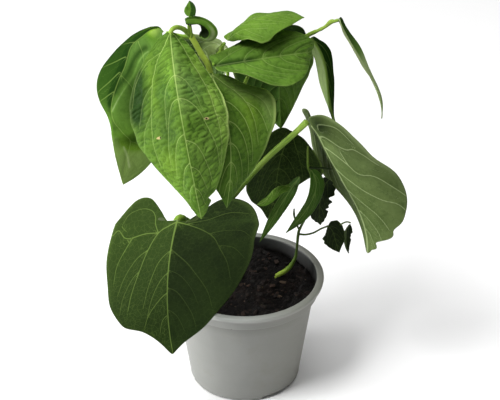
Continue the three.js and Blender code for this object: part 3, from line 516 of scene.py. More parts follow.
# The common values of small blades
small = dict(quilt=0.15, groove=0.25, veins=("small", "small"))
leaves = {
    "front_leaf_end_leaflet": dict(
        outline="pointed", midrib=((-50, -21, 299), (-46, -67, 277), (-36, -94, 243), (-29, -83, 188)),
        face=((7, -69, 72), (-1, -100, 2)), half=(45, 41), fold=((-41, -38), (-47, -44)), curl=(7, 0),
        wave=(2, 3, 0), grid=(230, 86), quilt=1.2, puff=(9, 3.2), groove=0.5,
        veins=("front leaf, left", "front leaf, right"), midribWidth=0.7, veinScale=0.55, rims=(0.1, 1.6),
        shade=((-45, -55, -50, -20, 0), (-10, 0, 10, 10, 5)), warmth=((10, 12, 10, 5, 0), (0,)),
        bites=((-1, 90.5, 1.2, 50),), spots=((51, 54, -1.3), (-50, 48, 0.3)),
        patches=(
            (2, 28, 8, 34, 52, 0, 0), (74, 18, 6, 14, -100, 0, -0.8), (84, 31, 6, 15, -120, 0, -1),
            (42, 28, 4, 26, 15, 20, 0.7), (-50, 17, 5, 12, 25, 35, 0), (-72, 36, 5, 14, 25, 35, 0),
            (-84, 56, 5, 16, 20, 30, 0), (15, 42, 7, 8, -35, 0, -0.3), (-12, 52, 7, 8, -35, 0, -0.3),
            (-30, 30, 9, 12, 10, -50, 0.5), (10, 76, 7, 9, -30, 0, -0.2), (40, 70, 10, 16, 0, 25, 0),
            (25, 32, 7, 6, 10, -30, 0.4), (-14, 33, 6, 7, -25, 0, -0.3), (30, 52, 6, 9, -25, 0, -0.3),
        ),
    ),
    "front_leaf_left_leaflet": dict(
        outline=("tapered", "full"),
        midrib=((-56, -9, 292), (-87, -8, 295), (-99, -29, 242), (-86, -27, 182)),
        face=((-41, -24, 88), (17, -98, 12)), half=(34, 37), fold=((-18, -21), (-30, -4)), curl=(-41, 6),
        wave=(1.5, 3, 2), front="folded", grid=(150, 64), quilt=0.22, groove=0.35,
        veins=("folded, outer", "folded, inner"),
        drawnMidrib=(
            (14, 4), (3, 11), (3, 18), (-4, 24), (-7, 30), (-4, 36), (0, 43), (4, 50), (4, 56), (-2, 62),
            (-14, 67), (-29, 73), (-27, 78), (-19, 84), (-10, 91), (0, 100),
        ),
        veinClear=0.7,
        shade=((-75, -90, -95, -90, -80, 0, 15, 20, 20), (0, -20, -35, -35, -25, 0, 15, 20, 20)),
        warmth=((0, 0, 0, 0, -10, -20, 20, 30, 30), (-30, -40, -40, -40, -30, -20, 20, 30, 30)), ease=2,
        foldShade=(-50, 1.6, 60), bites=((1, -1, 3, 75),),
        patches=(
            (10, 5, 8, 5, 25, 110, 0.8), (-20, 55, 8, 11, 0, 0, 0.8), (-20, 14, 10, 9, -10, -10, 0),
            (-42, 74, 8, 6, -90, 0, -1), (-2, 66, 7, 3, -35, 0, -0.8), (-22, 70, 8, 5, -5, 0, 1),
            (-30, 40, 3, 14, -35, 0, -0.4),
        ),
        streaks=(
            (45, 0.8, ((-34, 12), (-31, 20), (-28, 33), (-10, 47), (3, 56))),
            (-50, 2.2, ((-24, 12), (-20, 20), (-16, 33), (0, 45))),
            (35, 0.7, ((-16, 77), (-20, 83), (-20, 90))),
        ),
    ),
    "front_leaf_right_leaflet": dict(
        outline="leaflet", midrib=((-22, -11, 262), (-19, -33, 255), (-2, -52, 249), (-12, -72, 190)),
        face=((37, -75, 55), (52, -85, -6)), half=(31, 41), fold=((-33, -12), (-22, -35)), curl=(-9, 24),
        wave=(1.5, 3, 1), grid=(150, 58), quilt=0.6, puff=(8, 4), groove=0.5, veinScale=0.9,
        rims=(0.3, 1.2), shade=((30, -35, -40, -40), (30, -25, -40, -35)),
        patches=(
            (30, 20, 9, 14, -30, 0, 0), (-88, 30, 6, 18, 90, 0, 0), (-60, 10, 14, 14, 90, 20, 0),
            (-50, 35, 8, 16, 15, 30, 0.5), (20, 55, 7, 12, -25, 0, -0.4),
        ),
    ),
    "first_leaf_left": dict(
        outline=("lobed", "heart"),
        midrib=((-46, -72, 180), (-55, -70, 144), (-58, -57, 97), (-51, -85, 76)),
        face=((35, -54, 76), (44, -89, -9)), half=(54, 70), fold=((6, -4), (27, -1)), wave=(2, 2, 0.5),
        look="old", grid=(160, 70), quilt=0.22, puff=(6, 5), groove=0.35,
        veins=("heart, left", "heart, right"), midribWidth=0.8, veinScale=0.8, veinFade=1.5,
        rims=(0.1, 0.1), shade=((80, 70, 40, 10, 0), (-15, -35, -45, -45, -40)),
        patches=((2, 1, 7, 5, 80, 30, 0),),
    ),
    "first_leaf_right": dict(
        outline="shallow", midrib=((47, -2, 218), (63, -14, 184), (93, -8, 151), (91, -13, 115)),
        face=((80, 37, 47), (61, 78, 14)), half=(54, 45), fold=((-18, 28), (-8, 45)), curl=(67, -46),
        wave=(2.5, 3, 0), look="old", grid=(150, 66), veins=("back of heart", "heart, left"),
        drawnMidrib=((30, 0), (29, 7), (12, 25), (0, 47), (0, 75), (0, 100)), midribWidth=1.3,
        veinScale=1.25, shade=((10, 5, 0, 0, 5), (-50, -50, -45, -40, -30)), ease=5,
        bites=((1, 80, 3, 14), (1, 90, 3, 40), (1, 97, 1.2, 30)), patches=((47, 0, 11, 9, -110, 0, 0),),
    ),
    "upper_leaf_end_leaflet": dict(
        outline="pointed", midrib=((-12, 9, 278), (-6, 15, 290), (17, 16, 300), (42, 14, 293)),
        face=((38, 34, 86), (15, 3, 99)), half=(27, 23), fold=((4, -13), (8, -21)), curl=(-73, 16),
        veinClear=0.6, shade=((-10,), (-10,)), warmth=((10,), (10,)),
    ),
    "upper_leaf_right_leaflet": dict(
        outline="leaflet", midrib=((-20, -18, 272), (21, -5, 273), (55, 2, 273), (47, 20, 264)),
        face=((-1, -25, 97), (51, -81, 30)), half=(27, 27), fold=((17, 8), (-22, 23)), curl=(32, -78),
        grid=(110, 50), quilt=0.4, groove=1.4, veinClear=0.45, shade=((-10, 0, 0, 0), (-10, -15, -10, 5)),
        ease=4, foldShade=(-90, 0, 40), crease=0.8,
    ),
    "upper_leaf_left_leaflet": dict(
        outline="leaflet", midrib=((-15, 18, 271), (-36, 28, 270), (-32, 28, 252), (-39, 36, 208)),
        face=((13, 67, 73), (-16, 99, 6)), half=(22, 24), fold=((-1, -10), (-13, 7)), curl=(-17, 18),
        back="backlit", grid=(90, 40), quilt=0.35, veinClear=0.6, rims=(1, 1),
        shade=((30, 10, -120, -130, -130), (30, -40, -130, -130, -130)),
        patches=((-45, 30, 8, 13, -140, 0, 0), (75, 28, 8, 11, -130, 0, 0), (20, 16, 8, 7, -25, 0, 0)),
        streaks=((60, 0.7, ((-16, 16), (-17, 11), (-17, 7), (-7, 5), (12, 3))),),
    ),
    "side_leaf_left_leaflet": dict(
        outline="leaflet", midrib=((45, 36, 267), (20, 36, 255), (26, 40, 226), (27, 38, 192)),
        face=((-8, 91, 41), (0, 100, 10)), half=(27, 37), fold=((17, -10), (39, 25)), back="fresh",
        veinClear=0.35, shade=((-30, -25, -20, -15), (-95, -90, -80, -60)),
    ),
    "side_leaf_right_leaflet": dict(
        outline="pointed", midrib=((47, 22, 274), (65, 25, 250), (56, 26, 229), (66, 18, 207)),
        face=((28, 96, 8), (29, 96, -1)), half=(11, 17), fold=((68, 39), (84, 65)), back="folded",
        grid=(100, 40), quilt=0.15, groove=0.3, veins=("small", "small"), midribWidth=0.8, veinClear=0.9,
        shade=((-110, -120, -110, -100), (28, 40, 35, 20)), warmth=((0,), (-30,)), ease=1.2,
    ),
    "side_leaf_end_leaflet": dict(
        outline="pointed", midrib=((67, 21, 289), (73, 32, 265), (103, 17, 235), (99, 12, 214)),
        face=((99, -2, 11), (98, -3, 21)), half=(13, 13), fold=((5, 9), (2, 7)), wave=(0.8, 3, 0),
        front="folded", grid=(100, 40), quilt=0.15, groove=0.3, veins=("small", "small"), veinClear=0.5,
        shade=((55, 65, 60, 45, 30), (-90, -60, 45, 40, 30)), warmth=((-50,), (-50,)), ease=2,
    ),
    "shade_leaf_large": dict(
        outline=("leaflet", "broad"), midrib=((35, 24, 197), (20, 19, 173), (27, 23, 147), (17, 24, 122)),
        face=((30, -75, 59), (21, -94, 25)), half=(31, 32), fold=((44, 37), (7, 3)), wave=(2, 3, 0),
        look="old", quilt=0.4, veinClear=0.35, shade=((-15,), (-15,)),
    ),
    "shade_leaf_left_leaflet": dict(
        small, outline="strap", midrib=((40, -4, 175), (35, -1, 166), (22, -8, 146), (11, -12, 124)),
        face=((-33, -75, 57), (-2, -95, 32)), half=(4, 5), fold=((-6, 7), (-3, 2)), wave=(0.8, 2, 0),
        grid=(60, 16), veinClear=0.4, shade=((-85, -80, -75), (-85, -80, -75)),
    ),
    "shade_leaf_right_leaflet": dict(
        small, outline="strap", midrib=((48, -4, 181), (57, -11, 172), (50, -12, 155), (30, -17, 135)),
        face=((34, -85, 40), (36, -93, 11)), half=(5, 7), fold=((3, -4), (12, -21)), wave=(0.8, 2, 0),
        grid=(60, 16), veinClear=0.4, shade=((-80,), (-80,)),
    ),
    "shade_leaf_end_leaflet": dict(
        small, outline="strap", midrib=((33, -7, 169), (17, -12, 176), (21, -26, 167), (9, -24, 164)),
        face=((-83, -32, 45), (-59, -67, 46)), half=(8, 8), fold=((-51, -40), (-36, -29)), wave=(0.5, 2, 0),
        grid=(50, 16), shade=((-20,), (0,)),
    ),
    "side_shoot_dark_leaf": dict(
        small, outline="leaflet", midrib=((62, 9, 165), (56, 10, 158), (53, -2, 142), (57, 9, 126)),
        face=((46, -78, 42), (6, -96, 28)), half=(9, 10), fold=((12, -11), (1, 5)), wave=(1.2, 3, 0),
        look="old", grid=(110, 24), veinClear=0.25, shade=((-100,), (-100,)), ragged=12,
        bites=((-1, 35, 5, 35), (-1, 62, 3, 40), (1, 50, 4, 40)),
    ),
    "side_shoot_heart_leaf": dict(
        outline="leaflet", midrib=((63, 18, 119), (69, 20, 114), (68, 16, 105), (72, 13, 99)),
        face=((25, -81, 52), (16, -93, 32)), half=(10, 9), fold=((8, -4), (3, -3)), wave=(0.6, 2, 0),
        look="old", grid=(50, 18), quilt=0.12, groove=0.2, veins=("small", "small"), veinClear=0.3,
        shade=((-90,), (-90,)), ragged=4,
    ),
    "side_shoot_edge_leaf": dict(
        outline="strap", midrib=((81, 30, 113), (74, 28, 109), (75, 27, 99), (80, 24, 91)),
        face=((87, -28, 40), (94, -33, 10)), half=(6, 7), fold=((39, 44), (49, 52)), wave=(0.4, 2, 0),
        look="old", grid=(50, 14), quilt=0.1, groove=0.2, veins=("small", "small"), veinClear=0.3,
        shade=((-90,), (-90,)), ragged=5,
    ),
    "tip_bud_leaf": dict(
        outline="strap", midrib=((-37, -13, 306), (-36, -10, 311), (-35, -15, 310), (-37, -11, 317)),
        face=((-58, -76, 30), (-59, -75, 29)), half=(6, 5), fold=((21, 26), (19, 27)), wave=(0.2, 2, 0),
        front="folded", back="folded", grid=(40, 14), quilt=0.05, groove=0.2, veins=("small", "small"),
        veinClear=0.2, shade=((-120,), (-10,)), ease=1,
    ),
}


# Smooth noise from -1 to 1 over a flat leaf: random heights on a grid with cells of the given size
def softNoise(flat, spacing, seed):
    cells = 64
    heights = np.random.default_rng(seed).uniform(-1, 1, (cells, cells))
    place = flat / spacing + cells / 2
    corner = np.floor(place).astype(int)
    x, y = (place - corner).T
    x, y = x**3 * (10 - 15 * x + 6 * x * x), y**3 * (10 - 15 * y + 6 * y * y)
    column, row = (corner % (cells - 1)).T
    low = heights[row, column] * (1 - x) + heights[row, column + 1] * x
    high = heights[row + 1, column] * (1 - x) + heights[row + 1, column + 1] * x
    return low * (1 - y) + high * y


# Distance to a line of points, with a sign for the side, and how far along the line the nearest point is
def distanceToLine(flat, line):
    best = np.full(len(flat), 1e9)
    share = np.zeros(len(flat))
    steps = len(line) - 1
    for step in range(steps):
        start, along = line[step], line[step + 1] - line[step]
        offset = flat - start
        t = np.clip((offset @ along) / (along @ along), 0, 1)
        distance = np.hypot(*(offset - t[:, None] * along).T)
        closer = distance < np.abs(best)
        sign = np.where(offset[:, 0] * along[1] - offset[:, 1] * along[0] < 0, -1, 1)
        best[closer] = (distance * sign)[closer]
        share[closer] = ((step + t) / steps)[closer]
    return best, share


# Places on a Bezier curve of four points
def bezier(points, u):
    first, second, third, last = points
    return (1 - u) ** 3 * first + 3 * (1 - u) ** 2 * u * second + 3 * (1 - u) * u**2 * third + u**3 * last


# The width of the half on which a value, or each of many, lies
def halfWidth(leaf, x):
    return np.where(np.asarray(x) > 0, *leaf["half"])


# The margin of one half: shares of its width and of the length, with its small waves and bites
def bladeMargin(leaf, side, t):
    shapes = leaf["outline"] if isinstance(leaf["outline"], tuple) else (leaf["outline"],) * 2
    edge = throughPoints(halfOutlines[shapes[0 if side > 0 else 1]], t) / 100
    waves = sum(np.sin(number * 7.3 * t + 2.1 * number * side) for number in (2, 3, 5, 8))
    edge[:, 0] *= 1 + leaf["ragged"] / 100 * waves * 0.6
    for biteSide, place, width, depth in leaf["bites"]:
        if biteSide == side:
            edge[:, 0] *= 1 - depth / 100 * bell(edge[:, 1] * 100 - place, width)
    return edge


# The blade's middle surface: places, and the same points laid out flat, with the margins' wave
def bladeSheet(leaf, side, t, k):
    edge = bladeMargin(leaf, side, t)
    share = (1 - k) * t**1.6 + k * edge[:, 1]
    along = np.clip(share, 0, 1)
    rib = np.array(leaf["midrib"], float)
    fine = np.linspace(0, 1, 201)[:, None]
    pieces = np.linalg.norm(np.diff(bezier(rib, fine), axis=0), axis=1)
    lengths = np.concatenate([[0], np.cumsum(pieces)])
    length = lengths[-1]
    u = np.interp(along * length, lengths, fine[:, 0])[:, None]
    steps = np.diff(rib, axis=0)
    tangent = unit((1 - u) ** 2 * steps[0] + 2 * (1 - u) * u * steps[1] + u**2 * steps[2])
    centre = bezier(rib, u) + tangent * (np.minimum(share, 0) * length)[:, None]
    facing = np.array(leaf["face"], float)
    up = facing[0] * (1 - along)[:, None] + facing[1] * along[:, None]
    up = unit(up - tangent * (up * tangent).sum(1, keepdims=True))
    out = np.cross(tangent, up)
    half = 0 if side > 0 else 1
    width = leaf["half"][half]
    distance = k * edge[:, 0] * width
    start = np.radians(leaf["fold"][0][half] * (1 - along) + leaf["fold"][1][half] * along)
    bend = math.radians(leaf["curl"][half]) / width
    angle = start + bend * distance
    if bend:
        away = (np.sin(angle) - np.sin(start)) / bend
        rise = (np.cos(start) - np.cos(angle)) / bend
    else:
        away, rise = distance * np.cos(start), distance * np.sin(start)
    crease = leaf["crease"] * np.cos(start) ** 2
    eased = crease * (1 - np.exp(-distance / np.maximum(crease, 0.01)))
    away, rise = away + (1 - np.cos(start)) * eased, rise - np.sin(start) * eased
    height, count, phase = leaf["wave"]
    rise = rise + height * k * k * np.sin(np.pi * t) * np.sin(2 * np.pi * count * t + phase + side)
    place = centre + out * (side * away)[:, None] + up * rise[:, None]
    return place, np.column_stack([side * distance, share * length]), length


# The nearest vein to each point: the distance to it with its sign, the vein's half width there, how deep
# its valley is on the upper side and how high its ridge on the underside
def nearestVein(leaf, flat, length):
    gap = np.full(len(flat), 1e3)
    size, valley, ridge = np.zeros((3, len(flat)))
    scale = min(1.0, 0.4 + length / 160) * leaf["veinScale"]
    runs = [(1, leaf["midribWidth"], leaf["drawnMidrib"], True)]
    for side, pattern in zip((1, -1), leaf["veins"]):
        runs += [(side, thick, points, False) for thick, *points in veinPatterns[pattern]]
    for side, thick, points, middle in runs:
        near = np.ones(len(flat), bool) if middle else side * flat[:, 0] > -leaf["veinOverlap"]
        width = halfWidth(leaf, side)
        line = chain(points) / 100 * (side * width, length)
        if middle:
            line[:, 0] = np.where(line[:, 0] > 0, line[:, 0], line[:, 0] * leaf["half"][1] / width)
        distance, share = distanceToLine(flat[near], line)
        reach = np.abs(distance)
        thin = thick * scale * (1 - leaf["veinTaper"] * share)
        closer = reach - thin < np.abs(gap[near]) - size[near]
        chosen = np.flatnonzero(near)[closer]
        gap[chosen], size[chosen] = distance[closer], thin[closer]
        depth = (1 if middle else 0.75) * (1 - 0.5 * share)
        for relief, (factor, least) in ((valley, leaf["valleyWidth"]), (ridge, leaf["ridgeWidth"])):
            relief[near] = np.maximum(relief[near], depth * bell(reach, factor * thick + least))
    return gap, size, valley, ridge


# Painted shade and light (shade) and warmth of each point of a blade, and how far its patches rise
def leafTones(leaf, flat, length):
    signedX = flat[:, 0] / halfWidth(leaf, flat[:, 0])
    along = flat[:, 1] / length
    drawn = np.array(leaf["drawnMidrib"]) / 100
    drawn[:, 0] *= halfWidth(leaf, drawn[:, 0])
    middle, _ = distanceToLine(flat, chain(drawn * (1, length)))
    ease = np.clip(middle / leaf["ease"] + 0.5, 0, 1)

    def overHalves(key):
        right, left = (alongRun(np.array(run) / 100, along) for run in leaf[key])
        return ease * right + (1 - ease) * left

    shade, warmth, rise = overHalves("shade"), overHalves("warmth"), np.zeros(len(flat))
    for x, y, width, height, patchShade, warmer, raised in leaf["patches"]:
        across, on = (signedX - x / 100) * halfWidth(leaf, x), (along - y / 100) * length
        here = bell(across, width) * bell(on, height)
        shade += patchShade / 100 * here
        warmth += warmer / 100 * here
        rise += raised * here
    for tone, width, line in leaf["streaks"]:
        line = chain(line) / 100
        line *= np.column_stack([halfWidth(leaf, line[:, 0]), np.full(len(line), length)])
        shade += tone / 100 * bell(distanceToLine(flat, line)[0], width)
    foldTone, foldPlace, foldEnd = leaf["foldShade"]
    fold = bell(middle - foldPlace, leaf["foldWidth"])
    shade += foldTone / 100 * fold * np.clip((foldEnd / 100 - along) / 0.1, 0, 1)
    return shade, warmth, rise


# The faces of one side of a blade, whose first and last rows meet in one point each
def sheetFaces(index):
    quads = np.stack([index[:-1, :-1], index[:-1, 1:], index[1:, 1:], index[1:, :-1]], axis=-1)
    return quads[1:-1].reshape(-1, 4), np.concatenate([quads[0][:, [0, 2, 3]], quads[-1][:, [0, 1, 2]]])


# A blade: its sheet with relief on both sides, closed along the margins, with its tones on its points
def growLeaf(name, leaf, seed):
    leaf = {**blade, **leaf}
    rows, columns = leaf["grid"]
    t = np.repeat(np.linspace(0, 1, rows + 1), 2 * columns + 1)
    signed = np.tile(np.arange(-columns, columns + 1) / columns, rows + 1)
    place, flat = np.zeros((len(t), 3)), np.zeros((len(t), 2))
    for side in (1, -1):
        chosen = signed >= 0 if side > 0 else signed < 0
        place[chosen], flat[chosen], length = bladeSheet(leaf, side, t[chosen], np.abs(signed[chosen]))
    shape = (rows + 1, 2 * columns + 1)
    grid = place.reshape(*shape, 3)
    normal = np.cross(np.gradient(grid, axis=1), np.gradient(grid, axis=0))
    normal[0], normal[-1] = normal[1], normal[-2]
    normal = unit(normal).reshape(-1, 3)

    # The relief: puffs with creases between them, veins, a rib below, and a margin that runs out thin
    gap, size, valley, ridge = nearestVein(leaf, flat, length)
    shade, warmth, rise = leafTones(leaf, flat, length)
    skew = flat @ np.array(leaf["slant"])
    spacing = np.array(leaf["puff"])
    ripple = softNoise(skew, spacing, seed) + 0.45 * softNoise(skew, spacing * 0.45, seed + 1)
    billow = np.sqrt(ripple**2 + 0.01)
    # Painted shade in the creases between the puffs, used only for the colour
    creases = bell(ripple, leaf["creaseWidth"]) * min(1, leaf["quilt"])
    out = np.abs(signed)
    # The painted highlight along the margins (rim), stronger towards the base
    rim = np.clip((out - leaf["rimFrom"]) / leaf["rimWidth"], 0, 1) * np.clip(np.sin(np.pi * t), 0, 1) ** 0.3
    rim *= np.where(signed > 0, *leaf["rims"]) * np.clip(1.5 - 2 * flat[:, 1] / length, 0.15, 1)
    softer = 1 - np.clip((out - leaf["softFrom"]) / (1 - leaf["softFrom"]), 0, 1) ** 2
    ends = np.clip(np.minimum(t, 1 - t) / leaf["endShare"], 0, 1)
    lift = (leaf["quilt"] * billow * (1 - valley) - leaf["groove"] * valley) * softer * ends + rise * softer
    skin = leaf["thickness"] / 2 * np.sqrt(np.clip(1 - out**8, 0, 1)) * np.clip(ends * 3, 0, 1)
    rib = leaf["ribDepth"] * ridge * np.clip(ends * 3, 0.25, 1) * softer * min(1, length / 90)
    spot, hole = np.zeros((2, len(t)))
    for spotX, spotY, holeShift in leaf["spots"]:
        x = flat[:, 0] - spotX / 100 * halfWidth(leaf, spotX)
        y = flat[:, 1] - spotY / 100 * length
        long, wide = leaf["spotSize"]
        spot = np.maximum(spot, bell(x, long) * bell(y, wide))
        hole = np.maximum(hole, bell(np.hypot(x - holeShift, y), leaf["holeSize"] ** 0.5))

    # Both sides share the points of the margins, the base and the tip
    inside = (out < 1) & (t > 0) & (t < 1)
    points = np.where(inside[:, None], place + normal * (lift + skin)[:, None], place)
    points = np.concatenate([points, (place + normal * (lift - skin - rib)[:, None])[inside]])
    topIndex = np.arange(len(t))
    topIndex[t == 0] = 0
    topIndex[t == 1] = rows * shape[1]
    underIndex = topIndex.copy()
    underIndex[inside] = len(t) + np.arange(inside.sum())
    groups = list(sheetFaces(topIndex.reshape(shape)))
    groups += [faces[:, ::-1] for faces in sheetFaces(underIndex.reshape(shape))]
    slots = np.repeat((0, 0, 1, 1), [len(group) for group in groups])
    used = np.unique(np.concatenate([group.ravel() for group in groups]))
    renumber = np.zeros(len(points), int)
    renumber[used] = np.arange(len(used))
    both = lambda numbers: np.concatenate([numbers, numbers[inside]])[used]
    # Painted shade dims the veins as far as veinFade says
    clear = leaf["veinClear"] * np.clip(1 + leaf["veinFade"] * np.minimum(shade, 0), 0, 1)
    values = dict(
        veinGap=gap, veinSize=size, veinClear=clear, crease=creases, rim=rim, spot=spot, hole=hole,
        shade=shade, warmth=warmth,
    )
    sides = (leaf.get("front", leaf["look"]), leaf.get("back", leaf["look"] + " underside"))
    makePiece(
        name + "_blade", points[used], [renumber[group] for group in groups],
        [leafFinishes[side] for side in sides], leaf["look"] + "_leaf", (name,), slots, both(flat) / 10,
        {key: both(numbers) for key, numbers in values.items()},
    )


for number, (name, leaf) in enumerate(leaves.items()):
    growLeaf(name, leaf, 40 + number)
print("leaf blades grown:", len(leaves))

# Stalks: points of the axis with the radius at each, in millimetres, and a run along it of painted shade
# (below 0) and painted light (above 0)
stalks = {
    "main_stem": dict(
        path=(
            (-10, 5, 64, 2.7), (-11, 5, 90, 2.6), (-13, 5, 120, 2.5), (-14, 5, 146, 2.6),
            (-16, 2, 185, 2.3), (-19, -3, 225, 2.2), (-24, -8, 263, 2.1), (-30, -9.5, 277, 2),
            (-37, -11, 292, 2.1),
        ),
        shade=(0, 0, 0, 0, 0, 0, 50, 100, 100),
    ),
    "stalk_first_leaf_right": dict(
        path=(
            (-14, 5, 148, 2.6), (-7, 2, 157, 2.2), (1, 0, 169, 2.1), (17, -5, 192, 2.2), (36, -9, 214, 2.1),
            (44, -11, 224, 2.5),
        ),
        shade=(-90, -75, -50, -35, -20, -10),
    ),
    "stalk_first_leaf_left": dict(
        path=(
            (-14, 5, 147, 2.4), (-20, -15, 154, 1.9), (-27, -36, 159, 1.7), (-33, -46, 163, 1.7),
            (-38, -54, 168, 1.8), (-44, -62, 176, 2.7), (-47.5, -66.5, 175.5, 2),
        ),
    ),
    "stalk_front_leaf": dict(
        path=(
            (-37, -11, 291, 1.9), (-41, -14, 297, 1.8), (-45, -18, 300.5, 1.6), (-48, -23, 301.5, 1.6),
            (-49.5, -27, 301, 1.4),
        ),
    ),
    "stalk_front_leaf_left_leaflet": dict(
        path=((-37, -10, 289, 1.4), (-45, -9, 290, 1.3), (-53, -11, 293, 1.3)),
    ),
    "stalk_upper_leaf": dict(
        path=(
            (-17, 0, 200, 1.4), (-14, 5, 212, 1.2), (-12.5, 11, 228, 1.2), (-11.8, 16.5, 246, 1.2),
            (-13, 18, 257, 1.2), (-16, 16, 267.5, 1.6), (-14, 12.5, 274, 1.2),
        ),
    ),
    "stalk_side_leaf": dict(
        path=(
            (-16, 2, 188, 1.5), (-6, 6, 218, 1.3), (0, 10, 243, 1.2), (10, 18, 256, 1.2),
            (29, 27, 264, 1.2), (46, 31, 272, 1.6), (52, 29, 276, 1.2), (57, 27.5, 279.7, 1.2),
            (61, 26, 284.2, 1.7), (63.5, 25, 285.2, 1.2), (66, 24, 286.5, 1.2),
        ),
    ),
    "side_stem": dict(
        path=(
            (20, 14, 66, 1.7), (24, 14, 76, 1.9), (31, 14, 81.5, 1.9), (35, 14, 86, 1.7),
            (38.5, 15, 93, 1.2), (39.5, 16, 99, 1), (40.5, 17, 113, 1.1), (42, 16.5, 119, 1),
            (46, 14.5, 130, 0.9), (50.5, 11.5, 145, 0.9), (51.5, 8, 159, 0.9), (49.5, 5, 170, 1),
            (46.5, 3.5, 179, 1.1), (46, 4.5, 187, 0.9), (46, 8, 194, 0.8),
        ),
        shade=(80, 50, -50, -85, -90, -80, -60, -50, -50),
    ),
    "stalk_upper_leaf_right_leaflet": dict(
        path=((-16, 16, 267.5, 1.1), (-18.5, 10, 267, 1), (-21.5, 0, 268, 1), (-21.1, -18.2, 272.4, 1)),
    ),
    "tip_stalk_bud": dict(path=((-37.5, -11, 291, 0.9), (-38, -11, 299, 0.8), (-37.6, -12, 303, 0.8))),
    "side_twig_bud": dict(
        path=(
            (41, 17, 117, 0.8), (39.5, 16.5, 121, 0.7), (38, 16, 126, 0.6), (37, 16, 131, 0.9),
            (37, 16, 136, 0.5),
        ),
        shade=(-90,),
    ),
    "side_twig_low": dict(
        path=(
            (41, 17, 113, 0.8), (46, 17, 112.5, 0.7), (52, 18, 113.5, 0.7), (58, 20, 116, 0.7),
            (64, 19.5, 119, 0.7),
        ),
        shade=(-80,),
    ),
    "side_twig_high": dict(
        path=((46.5, 3.5, 179, 1), (50, 3.5, 178.5, 0.8), (56, 5, 177.5, 0.7), (63.5, 7.5, 175, 0.7)),
        shade=(-100,),
    ),
    "side_twig_arc": dict(
        path=((72, 22, 118, 0.6), (75, 25, 118, 0.6), (78, 28, 117, 0.6), (80.5, 30, 115, 0.6)),
        shade=(-70,),
    ),
}
# A stalk's greens, the pale of its patches, and the colours of its painted light (bright) and painted shade
# (dark)
stalkStyle = dict(
    sides=16, step=0.9, ridges=5, ridgeDepth=0.05, lumps=0.06, shine=0.1, deep=(0.1, 0.2, 0.02),
    light=(0.23, 0.38, 0.045), pale=(0.36, 0.48, 0.09), dark=(0.02, 0.036, 0.01), bright=(0.5, 0.66, 0.09),
)


def stalkFinish():
    finish = Finish("green stalk", stalkStyle["shine"])
    where = finish.coordinates("UV")
    streaks = finish.noise(finish.stretch(where, (3, 0.35, 1)), 3, 4)
    patches = finish.noise(finish.coordinates(), 45, 3)
    shade = finish.attribute("shade")
    colour = finish.layers(
        finish.mix(finish.span(streaks, 0.35, 0.65), stalkStyle["deep"], stalkStyle["light"]),
        (finish.span(patches, 0.4, 0.75) * 0.6, stalkStyle["pale"]),
        # Painted light where shade is above 0, painted shade where it is below
        (shade, stalkStyle["bright"]), (shade * -1, stalkStyle["dark"]),
    )
    hairs = finish.noise(finish.stretch(where, (1, 0.5, 1)), 60, 1)
    roughness = finish.span(patches, 0.3, 0.7, 0.42, 0.6)
    normal = finish.bump(streaks * 0.7 + hairs * 0.3, 0.4, 0.0003)
    return finish.finish(Base_Color=colour, Roughness=roughness, Normal=normal)


stalkGreen = stalkFinish()


# A tube along a path, with rounded ends and, if wanted, a section that changes on the way
def sweep(path, sides, step, section=None):
    path = np.array(path, float)
    axis, radii = path[:, :3], path[:, 3]
    length = np.linalg.norm(np.diff(axis, axis=0), axis=1).sum()
    rows = max(6, int(length / step))
    t = np.linspace(0, 1, rows + 1)
    centre = throughPoints(axis, t)
    tangent = unit(np.gradient(centre, axis=0))
    radius = alongRun(radii, t)
    side = np.array([0.0, 1.0, 0.0])
    rings = []
    turn = 2 * np.pi * np.arange(sides) / sides
    for row in range(rows + 1):
        side = unit(side - tangent[row] * (side @ tangent[row]))
        other = np.cross(tangent[row], side)
        reach = radius[row] * (section(turn, t[row], row) if section else np.ones(sides))
        around = np.cos(turn)[:, None] * side + np.sin(turn)[:, None] * other
        rings.append(centre[row] + reach[:, None] * around)
    rings.append(centre[:1] - tangent[0] * radius[0] * 0.5)
    rings.append(centre[-1:] + tangent[-1] * radius[-1] * 0.5)
    flat = np.column_stack([np.tile(np.abs(turn / np.pi - 1), rows + 1), np.repeat(t * length / 10, sides)])
    flat = np.concatenate([flat, [[0, 0], [0, length / 10]]])
    return np.concatenate(rings), ringFaces(rows + 1, sides), flat


def growStalk(name, stalk, seed):
    count = 400
    lumps = np.random.default_rng(seed).normal(0, 1, count)
    lumps = np.convolve(lumps, np.ones(5) / 5, "same") * stalkStyle["lumps"]

    def ridged(turn, t, row):
        return 1 + stalkStyle["ridgeDepth"] * np.cos(stalkStyle["ridges"] * turn + t) + lumps[row % count]

    points, faces, flat = sweep(stalk["path"], stalkStyle["sides"], stalkStyle["step"], ridged)
    shade = alongRun(np.array(stalk.get("shade", (0,))) / 100, flat[:, 1] / flat[:, 1].max())
    values = {"shade": shade}
    makePiece(name + "_stalk", points, faces, [stalkGreen], "stem", (name,), flat=flat, values=values)


for number, (name, stalk) in enumerate(stalks.items()):
    growStalk(name, stalk, 70 + number)
print("stalks grown:", len(stalks))
